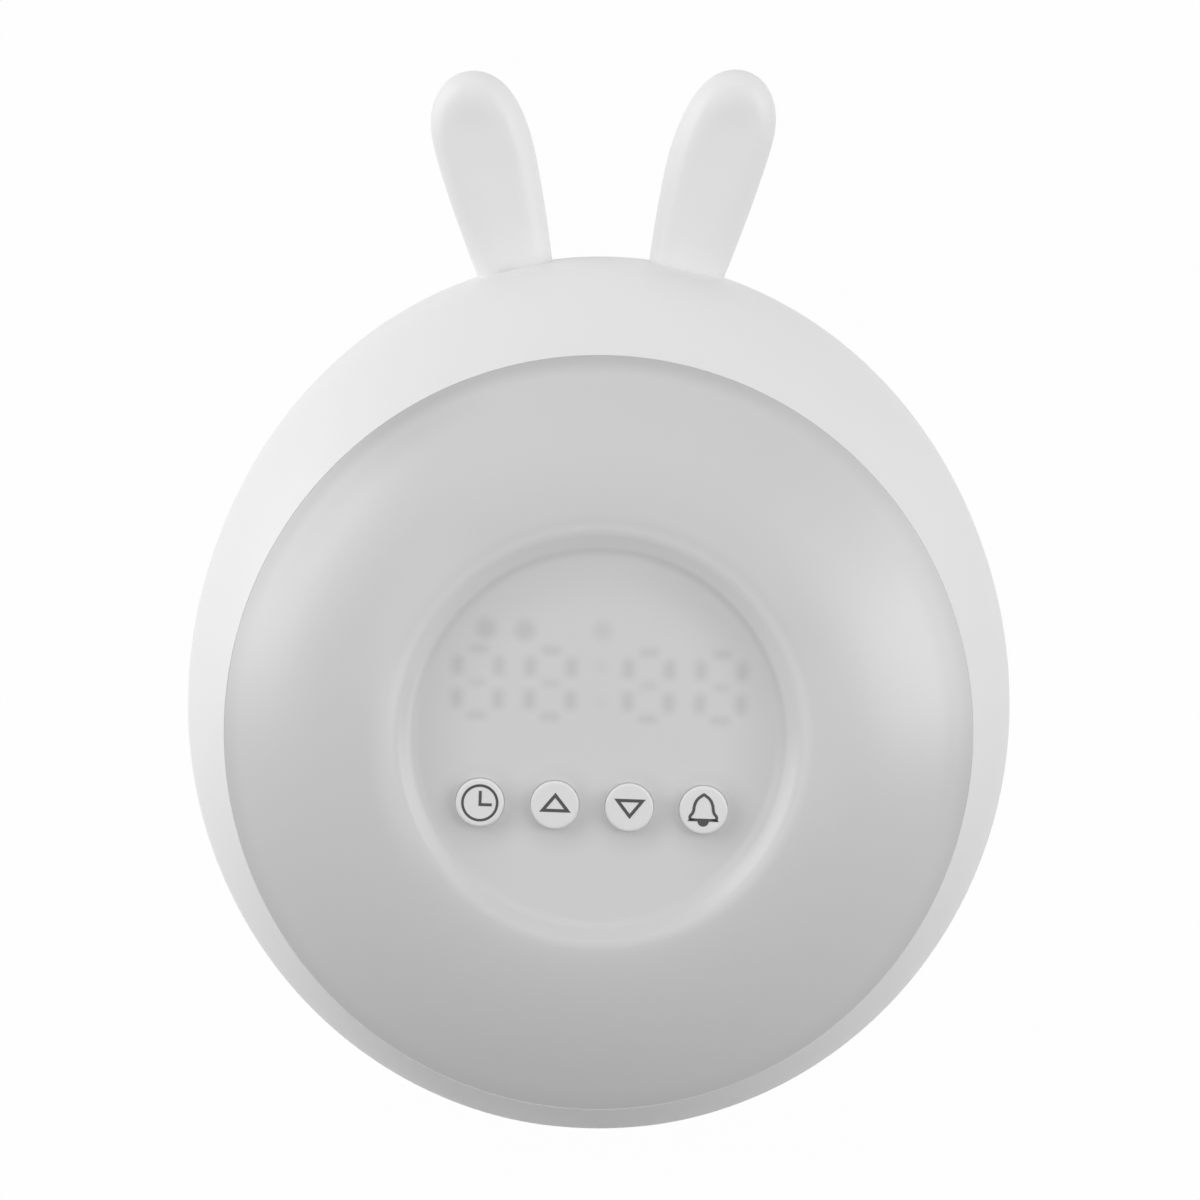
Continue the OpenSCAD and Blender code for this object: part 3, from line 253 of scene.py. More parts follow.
def rounded_box(cx, cy, hx, hy, r, n=6):
    """Points of a rectangle with round corners, counter-clockwise."""
    out = []
    for q, (sx, sy) in enumerate(((1, 1), (-1, 1), (-1, -1), (1, -1))):
        for k in range(n + 1):
            a = math.pi / 2 * (q + k / n)
            out.append((cx + sx * (hx - r) + r * math.cos(a), cy + sy * (hy - r) + r * math.sin(a)))
    return out


def inside(p, poly):
    """True where p lies in the polygon."""
    hit = False
    for (x0, y0), (x1, y1) in zip(poly, poly[1:] + poly[:1]):
        if (y0 > p[1]) != (y1 > p[1]) and p[0] < x0 + (p[1] - y0) * (x1 - x0) / (y1 - y0):
            hit = not hit
    return hit


def flat(place, outline, holes, w):
    """Flat triangulated face with holes, at height w of the given frame."""
    pts, edges = [], []
    for loop in [outline] + holes:
        off, n = len(pts), len(loop)
        pts += [Vector(p) for p in loop]
        edges += [(off + k, off + (k + 1) % n) for k in range(n)]
    co, _, faces, _, _, _ = delaunay_2d_cdt(pts, edges, [], 0, 1e-7)
    keep = []
    for f in faces:
        c = sum((co[i] for i in f), Vector((0, 0))) / len(f)
        if inside(c, outline) and not any(inside(c, h) for h in holes):
            keep.append(tuple(f))
    return [place(p[0], p[1], w) for p in co], keep


def walls(place, shape, steps):
    """Side faces of a hole or boss: shape(grow) gives its outline, steps are (grow, height)."""
    return strips([[place(x, y, w) for x, y in shape(g)] for g, w in steps])


def edge_steps(edge, top, bottom):
    """Steps of an opening or boss: its rounded edge at the top, then straight to the bottom."""
    return [(g, top - d) for g, d in edge] + [(0, bottom)]


def round_shape(r, n, x, y):
    """Outline function of a round opening or boss."""
    def shape(grow):
        return circle(r + grow, n, x, y)
    return shape


def bay_shape(half, corner, least, n):
    """Outline function of a square round the battery bay's middle, its corners at least so round."""
    def shape(grow):
        return rounded_box(BAY_X, BAY_Z, half + grow, half + grow, max(least, corner + grow), n)
    return shape


def turned(place, profile, n, cx=0.0, cy=0.0):
    """Surface of revolution round an axis of the given frame, from (radius, height) points."""
    return strips([[place(x, y, w) for x, y in circle(r, n, cx, cy)] for r, w in profile])


def cap(place, r, w, n, cx=0.0, cy=0.0):
    """Round lid."""
    return [place(x, y, w) for x, y in circle(r, n, cx, cy)], [tuple(range(n))]


# ---- materials ----

class Graph:
    """Short way to write a material's node tree."""

    def __init__(self, name, colour, rough, metallic=0.0):
        self.mat = bpy.data.materials.new(name)
        self.mat.use_nodes = True
        self.tree = self.mat.node_tree
        self.bsdf = self.tree.nodes["Principled BSDF"]
        self.fill(self.bsdf, {"Base Color": (*colour, 1), "Roughness": rough, "Metallic": metallic})
        self.rough = rough
        self.coord = self.node("ShaderNodeTexCoord").outputs["Object"]

    def fill(self, n, inputs):
        """Links an output to each given input of a node, or sets the input to a value."""
        for socket, value in inputs.items():
            if isinstance(value, bpy.types.NodeSocket):
                self.tree.links.new(value, n.inputs[socket])
            else:
                n.inputs[socket].default_value = value

    def node(self, kind, inputs=None, **values):
        """New node with its properties and inputs set."""
        n = self.tree.nodes.new(kind)
        for name, value in values.items():
            setattr(n, name, value)
        self.fill(n, inputs or {})
        return n

    def math(self, op, *values):
        """Result of a math node."""
        return self.node("ShaderNodeMath", dict(enumerate(values)), operation=op).outputs[0]

    def plus(self, a, b):
        return self.math("ADD", a, b)

    def minus(self, a, b):
        return self.math("SUBTRACT", a, b)

    def times(self, a, b):
        return self.math("MULTIPLY", a, b)

    def larger(self, a, b):
        return self.math("MAXIMUM", a, b)

    def away(self, a, b=0.0):
        """Distance of a from b."""
        return self.math("ABSOLUTE", self.minus(a, b) if b else a)

    def length(self, x, y):
        """Length of the vector (x, y)."""
        return self.math("SQRT", self.plus(self.times(x, x), self.times(y, y)))

    def toward(self, x, y, degrees):
        """Part of (x, y) that points in a direction."""
        a = math.radians(degrees)
        return self.plus(self.times(x, math.cos(a)), self.times(y, math.sin(a)))

    def step(self, value, a, b, lo=0.0, hi=1.0):
        """Smooth ramp of value from a to b."""
        n = self.node("ShaderNodeMapRange", {"Value": value, "From Min": a, "From Max": b, "To Min": lo,
                                             "To Max": hi}, interpolation_type="SMOOTHSTEP")
        return n.outputs["Result"]

    def ring_band(self, far, r0, r1, r2, r3):
        """1 on the ring from r1 to r2, fading to 0 at r0 and r3."""
        return self.times(self.step(far, r0, r1), self.step(far, r3, r2))

    def soft_box(self, u, v, hu, hv, blur):
        """1 inside a blurred rectangle of half sizes hu, hv round the origin of (u, v)."""
        return self.times(self.step(u, hu + blur, hu - blur), self.step(v, hv + blur, hv - blur))

    def dim(self, gain, fac, amount):
        """Takes an amount of light away where fac is 1; a negative amount adds light."""
        return self.times(gain, self.minus(1.0, self.times(fac, amount)))

    def dot(self, vector, a):
        """Dot product with a constant vector."""
        n = self.node("ShaderNodeVectorMath", {0: vector, 1: a}, operation="DOT_PRODUCT")
        return n.outputs["Value"]

    def stretch(self, scale):
        """The piece's own coordinates, scaled by axis."""
        return self.node("ShaderNodeVectorMath", {0: self.coord, 1: scale}, operation="MULTIPLY").outputs[0]

    def scaled(self, colour, k):
        """Colour times a value."""
        return self.node("ShaderNodeVectorMath", {0: colour, "Scale": k}, operation="SCALE").outputs[0]

    def noise(self, scale, detail=2.0, vector=None, rough=0.5):
        """Noise in the piece's own coordinates."""
        n = self.node("ShaderNodeTexNoise", {"Vector": vector or self.coord, "Scale": scale,
                                             "Detail": detail, "Roughness": rough})
        return n.outputs["Fac"]

    def mix(self, fac, a, b):
        """Colour between a and b; the node's colour sockets are inputs 6 and 7 and output 2."""
        a, b = [v if isinstance(v, bpy.types.NodeSocket) else (*v, 1) for v in (a, b)]
        return self.node("ShaderNodeMix", {0: fac, 6: a, 7: b}, data_type="RGBA").outputs[2]

    def set_colour(self, value):
        """Gives the surface a base colour."""
        self.fill(self.bsdf, {"Base Color": value})

    def vary_colour(self, fac, dark, light):
        """Base colour that runs between two shades."""
        out = self.mix(fac, dark, light)
        self.set_colour(out)
        return out

    def vary_rough(self, fac, amount):
        """Roughness that drifts round its value."""
        n = self.node("ShaderNodeMapRange", {"Value": fac, "To Min": self.rough - amount,
                                             "To Max": self.rough + amount})
        self.fill(self.bsdf, {"Roughness": n.outputs["Result"]})

    def bump(self, height, strength, distance):
        """Fine relief."""
        n = self.node("ShaderNodeBump", {"Strength": strength, "Distance": distance, "Height": height})
        self.fill(self.bsdf, {"Normal": n.outputs["Normal"]})


def shade(c, k):
    """Colour made darker or lighter."""
    return tuple(min(1.0, v * k) for v in c)


def plastic(name, colour, rough, grain=2200.0, depth=0.00001, spread=0.012, strength=0.35):
    """Moulded plastic: a fine satin grain, faint flow marks and a roughness that drifts.
    Returns the graph and its base colour."""
    g = Graph(name, colour, rough)
    base = g.vary_colour(g.noise(14, 3), shade(colour, 1 - spread), shade(colour, 1 + spread))
    g.vary_rough(g.noise(45, 2), 0.04)
    g.bump(g.noise(grain, 2, rough=0.6), strength, depth)
    return g, base


def moulded(name, colour, rough, **values):
    """Plain moulded plastic."""
    return plastic(name, colour, rough, **values)[0].mat


# painted light on the ears: how much lighter, and the heights in metres over which it comes in
EAR_PAINTED_LIGHT, EAR_PAINTED_LIGHT_Z = 1.045, (0.168, 0.19)


def shell_material(name, colour, rough):
    """White shell; the ears get painted light, their colour a little lighter than the head's."""
    g, base = plastic(name, colour, rough)
    height = g.dot(g.coord, (0, 0, 1))
    g.set_colour(g.scaled(base, g.step(height, *EAR_PAINTED_LIGHT_Z, 1.0, EAR_PAINTED_LIGHT)))
    return g.mat


def steel(name, colour, rough):
    """Plated metal with fine drawn lines."""
    g = Graph(name, colour, rough, metallic=1.0)
    lines = g.noise(900, 3, g.stretch((0.08, 1, 1)))
    g.vary_colour(lines, shade(colour, 0.88), shade(colour, 1.06))
    g.vary_rough(g.noise(300, 2), 0.08)
    g.bump(lines, 0.3, 0.00001)
    return g.mat


def board(name, colour, track):
    """Solder mask with raised copper tracks under it."""
    g = Graph(name, colour, 0.35)
    v = g.node("ShaderNodeTexVoronoi", {"Vector": g.coord, "Scale": 320}, distance="CHEBYCHEV",
               feature="DISTANCE_TO_EDGE")
    lines = g.step(v.outputs["Distance"], 0.05, 0.12)
    g.vary_colour(lines, track, colour)
    g.bump(lines, 0.4, 0.00004)
    return g.mat


WIRE_PITCH = 0.00127


def lead(name, colour):
    """Flat lead: parallel wires side by side, with painted shade in the grooves between them."""
    g = Graph(name, colour, 0.55)
    wave = g.math("SINE", g.times(g.dot(g.coord, (1, 0, 0)), 2 * math.pi / WIRE_PITCH))
    ridge_and_groove_shade = g.step(wave, -1.0, 0.6)
    g.vary_colour(ridge_and_groove_shade, shade(colour, 0.55), colour)
    g.bump(ridge_and_groove_shade, 0.6, 0.0002)
    return g.mat


# ---- the frosted diffuser's material, in mm on the dial ----

# hidden digits: middle of a pair, pitch, height, slope of the row, off the middle, segments' places
PAIR_X, DIGIT_PITCH, DIGIT_Y, ROW_SLOPE, ROW_OFF = 16.4, 13.95, 10.32, 0.0095, 0.2
SEG_X, SEG_Y = 3.95, 6.4
# half sizes and blur of the upright, outer and middle segments, and how plainly two of them show
SIDE_BOX, LID_BOX, BAR_BOX = (1.1, 1.8, 1.35), (1.8, 0.8, 1.25), (1.6, 0.7, 1.2)
LID_SHOW, BAR_SHOW = 0.85, 0.65
# status dots and colon: place, radius, how plainly they show
DOTS = ((-22.3, 20.4, 1.8, 0.95), (-14.8, 20.3, 1.8, 0.95), (0.1, 20.8, 1.7, 0.6),
        (0.1, DIGIT_Y + 3.4, 1.0, 0.3), (0.1, DIGIT_Y - 3.4, 1.0, 0.3))
DOT_OUT, DOT_IN = 1.5, 1.3
# shares of light taken by the display seen through, and shares of painted shade at the rim, more at its top,
# at the floor's edge and as each key's shadow
DASH, RIM_PAINTED_SHADE, CROWN_PAINTED_SHADE, FLOOR_EDGE_PAINTED_SHADE, KEY_PAINTED_SHADOW = 0.16, 0.08, 1.7, 0.12, 0.11
FROST_SHINE = 0.8
# painted shadow of each key: its offset to the lower right, and the radii where it fades out and where it is
# full
KEY_SHADOW_X, KEY_SHADOW_Y, KEY_SHADOW_OUT, KEY_SHADOW_IN = 0.8, -0.9, 10.0, 4.4
# width of the painted shade along the rim
RIM_SHADE_WIDTH = 4.0
# radii of the floor's edge of painted shade, the recess's painted light, the wall's painted light and shade,
# and the painted shade of the fold at its foot
FLOOR_SHADE_BAND, DIAL_LIGHT_OUT, DIAL_LIGHT_IN = (22.0, 36.0, 36.2, 37.2), 42.5, 39.0
WALL_SHADING_BAND, FOLD_SHADE_BAND = (35.8, 37.8, 39.8, 42.4), (36.4, 37.4, 38.4, 39.6)
# shares of painted light added in the recess, of painted light and shade on its wall, the part of that taken
# as painted shade at the fold, and the most that they all come to
DIAL_PAINTED_LIGHT, WALL_PAINTED_LIGHT_AND_SHADE, FOLD_PAINTED_SHADE, HEADROOM = 0.08, 0.05, 0.7, 1.12
# painted shade and highlights round the recess and rim: direction, its spread, and the bands' four radii and
# share, a negative share a painted highlight
PAINTED_SHADE_AND_HIGHLIGHTS = (
    (90, 0.1, 0.9, ((34.0, 36.4, 39.6, 44.5, 0.05), (36.8, 38.4, 38.8, 40.2, -0.03),
                    (39.8, 41.0, 41.8, 44.0, 0.025))),
    (188, 0.8, 1.0, ((34.7, 35.9, 36.9, 37.8, -0.06), (37.2, 38.0, 39.0, 39.8, 0.05),
                     (39.2, 40.4, 41.6, 46.0, -0.08))),
    (333, 0.82, 1.0, ((34.0, 35.4, 38.6, 39.8, -0.1),)),
    (135, 0.88, 1.0, ((64.0, 69.5, 72.0, 74.0, 0.1),)),
    (10, 0.88, 1.0, ((66.5, 70.0, 74.0, 75.5, 0.07),)),
    (45, 0.75, 1.0, ((27.0, 33.0, 36.0, 37.5, 0.05),)),
    (152, 0.85, 1.0, ((39.5, 41.5, 45.0, 53.0, -0.05),)),
    (0, 0.85, 1.0, ((39.5, 41.5, 46.0, 54.0, -0.04),)),
)


def dial_axis(g, axis):
    """Place along an axis of the dial."""
    per_mm = axis * 1000
    return g.minus(g.dot(g.coord, per_mm), ((FACE + HEAD) * MM).dot(axis) * 1000)


def hidden_display(g, x, y):
    """1 where a segment or dot of the display lies behind the floor, blurred."""
    # fold the four digits onto one, and its quarters onto one
    u = g.away(g.away(g.away(g.plus(x, ROW_OFF)), PAIR_X), DIGIT_PITCH / 2)
    v = g.away(g.minus(y, g.times(x, ROW_SLOPE)), DIGIT_Y)
    side = g.soft_box(g.away(u, SEG_X), g.away(v, SEG_Y / 2), *SIDE_BOX)
    lid = g.times(g.soft_box(u, g.away(v, SEG_Y), *LID_BOX), LID_SHOW)
    bar = g.times(g.soft_box(u, v, *BAR_BOX), BAR_SHOW)
    mask = g.larger(side, g.larger(lid, bar))
    for dx, dy, r, k in DOTS:
        far = g.length(g.minus(x, dx), g.minus(y, dy))
        mask = g.larger(mask, g.times(g.step(far, r + DOT_OUT, r - DOT_IN), k))
    return mask


def shade_rim(g, gain, x, y, up, side):
    """Painted shade on the dome's edge under the bezel, most at the top and upper left."""
    outer = g.length(g.times(x, 1.0), g.times(y, 1.0 - RIM_UP))
    rim_shade = g.step(outer, OPEN_R - RIM_SHADE_WIDTH, OPEN_R)
    crown = g.minus(g.times(up, 0.94), g.times(side, 0.34))
    gain = g.dim(gain, g.times(rim_shade, g.step(up, -0.9, 0.0, 0.6, 1.0)), RIM_PAINTED_SHADE)
    return g.dim(gain, g.times(rim_shade, g.step(crown, 0.45, 0.95)), RIM_PAINTED_SHADE * CROWN_PAINTED_SHADE)


def shade_floor(g, gain, x, y, far, up):
    """Painted shade at the dial floor's edge, least at the bottom, painted light over the recess, and a
    painted shadow to the lower right of each key.
    """
    edge = g.times(g.ring_band(far, *FLOOR_SHADE_BAND), g.step(up, -0.95, -0.4))
    gain = g.dim(gain, edge, FLOOR_EDGE_PAINTED_SHADE)
    gain = g.dim(gain, g.step(far, DIAL_LIGHT_OUT, DIAL_LIGHT_IN), -DIAL_PAINTED_LIGHT)
    for kx in KEY_XS:
        off = g.length(g.minus(x, kx + KEY_SHADOW_X), g.minus(y, KEY_SHADOW_Y - KEY_DROP))
        gain = g.dim(gain, g.step(off, KEY_SHADOW_OUT, KEY_SHADOW_IN), KEY_PAINTED_SHADOW)
    return gain


def shade_wall(g, gain, far, up, side):
    """Painted light on the recess's sloping wall, turned to painted shade at its lower left, painted shade
    at the fold on its lower half, and soft bands of painted shade and highlights round the recess and rim.
    """
    lean = g.plus(g.times(side, 0.5), g.times(up, 0.866))
    slope = g.ring_band(far, *WALL_SHADING_BAND)
    gain = g.dim(gain, g.times(slope, g.step(lean, -0.85, -0.2, -1.0, 1.0)), -WALL_PAINTED_LIGHT_AND_SHADE)
    fold = g.times(g.ring_band(far, *FOLD_SHADE_BAND), g.step(up, 0.5, 0.0))
    gain = g.dim(gain, fold, WALL_PAINTED_LIGHT_AND_SHADE * FOLD_PAINTED_SHADE)
    for angle, lo, hi, bands in PAINTED_SHADE_AND_HIGHLIGHTS:
        aim = g.step(g.toward(side, up, angle), lo, hi)
        for *radii, k in bands:
            gain = g.dim(gain, g.times(g.ring_band(far, *radii), aim), k)
    return gain


def diffuser_material(name, colour, rough):
    """Frosted light diffuser; what lies close behind it shows through, blurred, and painted shade, light and
    highlights are added round its rim, recess and keys.
    """
    g, base = plastic(name, colour, rough, grain=3000.0, depth=0.000006, spread=0.006, strength=0.25)
    g.fill(g.bsdf, {"Specular IOR Level": FROST_SHINE})
    x, y, w = [dial_axis(g, axis) for axis in (DIAL_X, DIAL_UP, FACE_OUT)]
    far = g.length(g.times(x, 1.0 + NARROW), g.times(y, 1.0))
    up = g.math("DIVIDE", y, far)
    side = g.math("DIVIDE", x, far)
    floor = g.step(w, DIAL_W + 0.6, DIAL_W + 0.2)
    gain = g.minus(1.0, g.times(g.times(hidden_display(g, x, y), floor), DASH))
    gain = shade_rim(g, gain, x, y, up, side)
    gain = shade_floor(g, gain, x, y, far, up)
    gain = shade_wall(g, gain, far, up, side)
    most = (1.0 + WALL_PAINTED_LIGHT_AND_SHADE) * (1.0 + DIAL_PAINTED_LIGHT) * HEADROOM
    dark = g.minus(1.0, g.math("DIVIDE", gain, most))
    g.set_colour(g.mix(dark, g.scaled(base, most), (0.0, 0.0, 0.0)))
    return g.mat


MATERIALS = {}


def paint(name, make, *values, **more):
    """Makes the material of a slot."""
    MATERIALS[name] = make(name, *values, **more)


paint("shell_white", shell_material, (0.87, 0.87, 0.87), 0.4)
paint("diffuser_milk", diffuser_material, (0.66, 0.66, 0.66), 0.3)
paint("frame_white", moulded, (0.9, 0.9, 0.9), 0.5)
paint("key_white", moulded, (0.86, 0.86, 0.86), 0.38, depth=0.000006)
paint("board_white", board, (0.86, 0.86, 0.84), (0.74, 0.74, 0.72))
paint("board_green", board, (0.03, 0.2, 0.09), (0.05, 0.3, 0.14))
paint("led_yellow", moulded, (0.9, 0.78, 0.25), 0.3)
paint("led_white", moulded, (0.88, 0.88, 0.84), 0.25)
paint("black_plastic", moulded, (0.035, 0.035, 0.037), 0.45, spread=0.12)
paint("plunger_cream", moulded, (0.75, 0.72, 0.62), 0.45)
paint("header_cream", moulded, (0.82, 0.79, 0.7), 0.4)
paint("bright_steel", steel, (0.72, 0.72, 0.73), 0.28)
paint("magnet_steel", steel, (0.5, 0.5, 0.52), 0.4)
paint("screw_steel", steel, (0.58, 0.58, 0.6), 0.33)
paint("cone_grey", moulded, (0.09, 0.09, 0.1), 0.8, grain=700.0, depth=0.0001, spread=0.2)
paint("foot_rubber", moulded, (0.6, 0.6, 0.59), 0.75, grain=900.0, depth=0.00006)
paint("lead_grey", lead, (0.5, 0.5, 0.5))
paint("lead_red", lead, (0.5, 0.05, 0.04))
paint("mark_grey", moulded, (0.075, 0.075, 0.075), 0.6, grain=4000.0, spread=0.08)


def finish_solids():
    """Gives every CAD node the material of its slot."""
    for row in RECORD["subparts"]:
        node = NODES[row["node"]]
        mat = MATERIALS[row["material_slot"]]
        if node.material_slots:
            for s in node.material_slots:
                s.material = mat
        else:
            node.data.materials.append(mat)


# ---- form of the head ----

def on_base(z, floor):
    """Lifts a height onto the flat base, with a soft edge."""
    h = max(0.0, min(1.0, 0.5 + 0.5 * (z - floor) / BASE_SOFT))
    return floor + (z - floor) * h + BASE_SOFT * h * (1 - h)


def ring(y, z, tilt, half, up, down, floor=BASE):
    """Points of a ring round the head: depth, height, tilt, half width, reach up and down."""
    out = []
    for k in range(RING_N):
        t = 2 * math.pi * k / RING_N
        v = (up if math.sin(t) > 0 else down) * math.sin(t)
        out.append(Vector((half * math.cos(t), y + v * math.sin(tilt),
                           on_base(z + v * math.cos(tilt), floor))))
    return out


def rim_reach(r):
    """Half width, reach up and reach down of a ring of the bezel."""
    return r * (1 - RIM_SIDE), r * (1 + RIM_UP), r * (1 + RIM_DOWN)


def face_ring(w, r):
    """Ring of the bezel at height w over its plane."""
    return ring(FACE.y - w * math.cos(TILT), FACE.z + w * math.sin(TILT), TILT, *rim_reach(r))


def front_ring(p, d=0.0):
    """Ring at angle p, from the bezel edge to a right angle at the widest ring, d under the skin."""
    f = (math.sin(p) - math.sin(EDGE)) / (1 - math.sin(EDGE))
    g = math.cos(p) / math.cos(EDGE)
    reach = [a + (b - a) * f - d for a, b in zip(rim_reach(RIM_R), HEAD_REACH)]
    return ring(MID_Y + (FACE.y - MID_Y) * g, FACE.z * g, TILT * g, *reach, BASE + d)


def rear_scale(y, d=0.0):
    """How far the rear has closed at a depth: 0 at the widest ring, 1 at the back edge."""
    f = min(1.0, (y - MID_Y) / (BACK_Y - d - MID_Y))
    s = math.asin(f ** (REAR_POW / 2))
    return 1 - max(0.0, math.cos(s)) ** (2 / REAR_POW)


def rear_ring(y, d=0.0):
    """Ring behind the widest one, d under the skin."""
    g = rear_scale(y, d)
    reach = [a - d + (BACK_R - a) * g for a in HEAD_REACH]
    return ring(y, BACK_Z * g, 0.0, *reach, BASE + d)


def back_ring(y, r):
    """Ring of the back panel's recess."""
    return ring(y, BACK_Z, 0.0, r, r, r)


def head_height(x, y):
    """Height of the head's outer form over a place behind its widest ring."""
    g = rear_scale(y)
    a = HEAD_A + (BACK_R - HEAD_A) * g
    up = HEAD_TOP + (BACK_R - HEAD_TOP) * g
    return BACK_Z * g + up * math.sqrt(max(0.0, 1 - (x / a) ** 2))


def front_housing():
    """Front shell: rounded bezel edge, outer form, parting edge with its lap, inner walls."""
    rings = bend(face_ring(-DOME_SINK, OPEN_R), face_ring(-RIM_SINK, OPEN_R + RIM_OUT),
                 front_ring(EDGE + RIM_TURN), 4)
    rings += [front_ring(EDGE + (math.pi / 2 - EDGE) * (i + 0.8) / 26) for i in range(1, 25)]
    rings += [rear_ring(MID_Y + (PART_Y - PART_SOFT - MID_Y) * i / 8) for i in range(8)]
    rings += bend(rear_ring(PART_Y - PART_SOFT), rear_ring(PART_Y), rear_ring(PART_Y, PART_SOFT))
    rings += [rear_ring(PART_Y, WALL / 2), rear_ring(PART_Y - LAP, WALL / 2),
              rear_ring(PART_Y - LAP, WALL), rear_ring(MID_Y + 9, WALL)]
    for deg in (90, 84, 78, 72, 66, 61):
        p = math.radians(deg)
        rings.append(front_ring(p, WALL + RIM_WALL * math.cos(p) / math.cos(EDGE)))
    rings += [face_ring(-SEAT_D, SEAT_R), face_ring(-LIP_T, SEAT_R), face_ring(-LIP_T, OPEN_R)]
    return build("shell_front", *strips(rings, closed=True), "clock", "shell_white", ("front_housing",))


def usb_outline(grow):
    """Stadium of the power socket's slot."""
    r = USB_R + (USB_PLAY + grow)
    angles = [math.pi * (k / 10 - 0.5) for k in range(11)]
    right = [(PORT_X + USB_RUN + r * math.cos(a), USB_Z + r * math.sin(a)) for a in angles]
    left = [(PORT_X - USB_RUN - r * math.cos(a), USB_Z - r * math.sin(a)) for a in angles]
    return right + left


def grille_places():
    """Middles of the speaker grille's holes: one in the centre and three rings round it."""
    places = [(0.0, 0.0)]
    for n in (1, 2, 3):
        for k in range(6 * n):
            a = math.pi * k / 3 / n
            places.append((n * GRILLE_P * math.cos(a), n * GRILLE_P * math.sin(a)))
    return places


def rear_openings():
    """The back panel's openings, each an outline function and its steps from the outer face in."""
    y1, y0 = PANEL_Y1, PANEL_Y0
    found = []
    well = edge_steps(WELL_EDGE, y1, y1 - WELL_D)
    well += [(SHANK_IN, y1 - WELL_D), (SHANK_IN, POST_Y), (POST_OUT, POST_Y), (POST_OUT, y0)]
    for x in (-POST_OFF, POST_OFF):
        for z in (-POST_OFF, POST_OFF):
            found.append((round_shape(WELL_R, 48, x, BACK_Z + z), well))
    for x, z in grille_places():
        found.append((round_shape(GRILLE_R, 24, x, SPK_Z + z), edge_steps(GRILLE_EDGE, y1, y0)))
    found.append((round_shape(KEY_R + BACK_KEY_PLAY, 64, PORT_X, LKEY_Z), edge_steps(BACK_KEY_EDGE, y1, y0)))
    found.append((usb_outline, edge_steps(SOCKET_EDGE, y1, y0)))
    bay = edge_steps(BAY_EDGE, y1, y1 - BAY_STEP) + [(-BAY_RIM, y1 - BAY_STEP), (-BAY_RIM, y0)]
    found.append((bay_shape(BAY_S / 2 + BAY_RIM, 1.2, 0.4, 6), bay))
    return found


def rear_housing():
    """Rear shell: outer form, rounded back edge, recessed panel with all its openings."""
    start = PART_Y + PART_GAP
    tongue = [rear_ring(start, WALL / 2 + PART_GAP), rear_ring(start - LAP, WALL / 2 + PART_GAP),
              rear_ring(start - LAP, WALL)]
    outer = bend(rear_ring(start, PART_SOFT), rear_ring(start), rear_ring(start + PART_SOFT))
    s0 = math.asin(((start + PART_SOFT - MID_Y) / (BACK_Y - MID_Y)) ** (REAR_POW / 2))
    for i in range(1, 27):
        s = s0 + (math.pi / 2 - s0) * i / 26
        outer.append(rear_ring(MID_Y + (BACK_Y - MID_Y) * math.sin(s) ** (2 / REAR_POW)))
    rim_r = BACK_R - PANEL_RIM
    outer += bend(back_ring(BACK_Y, rim_r + BACK_SOFT), back_ring(BACK_Y, rim_r),
                  back_ring(BACK_Y - BACK_SOFT, rim_r), 4)
    outer += bend(back_ring(PANEL_Y1 + PANEL_SOFT, rim_r), back_ring(PANEL_Y1, rim_r),
                  back_ring(PANEL_Y1, rim_r - PANEL_SOFT))
    deep = PANEL_Y0 - PANEL_SEAT
    inner = [back_ring(PANEL_Y0, rim_r)]
    inner += [rear_ring(deep - (deep - PART_Y) * g, WALL) for g in (0, 0.16, 0.32, 0.6, 1)]
    holes = rear_openings()
    parts = [strips(tongue + outer), strips(inner + [tongue[-1]])]
    for edge, end, y in ((outer[-1], 0, PANEL_Y1), (inner[0], -1, PANEL_Y0)):
        cuts = [shape(steps[end][0]) for shape, steps in holes]
        parts.append(flat(at_back, [(p.x, p.z) for p in edge], cuts, y))
    parts += [walls(at_back, shape, steps) for shape, steps in holes]
    return build("shell_rear", *join(*parts), "clock", "shell_white", ("rear_housing",))


# ---- ears ----

def ear_half(z):
    """Half width of an ear at a height."""
    if z > EAR_WIDE_Z:
        rise = (z - EAR_WIDE_Z) / (EAR_TIP - EAR_WIDE_Z)
        return EAR_W * max(0.0, 1 - rise ** EAR_BLUNT) ** (1 / EAR_BLUNT)
    return EAR_W - EAR_TAPER * ((EAR_WIDE_Z - z) / (EAR_WIDE_Z - EAR_Z)) ** 1.5


def ear_mid(z, side):
    """Sideways place of an ear's middle at a height."""
    shift = side * EAR_SHIFT * smooth01((EAR_TIP - z) / SHIFT_RUN)
    return EAR_X + EAR_LEAN * (z - EAR_Z) - EAR_CURL * max(0.0, z - EAR_WIDE_Z - 2) ** 2 + shift


def ear_point(z, t, side, grow=0.0):
    """Point of an ear's skin at a height and an angle round it; its front is slightly hollow."""
    w = ear_half(z)
    d = EAR_T * (w / EAR_W) ** 0.75
    w, d = w + grow, d + grow
    c, s = math.cos(t), math.sin(t)
    h = 0.0
    if s < 0:
        top = smooth01((EAR_TIP - TIP_FADE - z) / TIP_RUN)
        foot = max(FOOT_LEAST, min(1, (z - EAR_FOOT - FOOT_FADE) / FOOT_RUN))
        h = EAR_DISH * top * foot * max(0.0, 1 - ((c - DISH_MID) / DISH_HALF) ** 2) ** 1.5
    return Vector((ear_mid(z, side) + w * c, EAR_Y + d * s + h, z))


def crease(t, side):
    """1 over the short stretch at the left ear's front where its foot stands off the head."""
    c = math.cos(t)
    if side > 0 or math.sin(t) > 0:
        return 0.0
    return smooth01((c - CREASE_FROM) / CREASE_FADE) * smooth01((CREASE_TO - c) / CREASE_FADE)


def foot_height(t, side):
    """Height at which an ear's skin at an angle meets the head."""
    z = EAR_Z
    for _ in range(12):
        p = ear_point(z, t, side)
        z = head_height(p.x, p.y) - 0.05
    return z


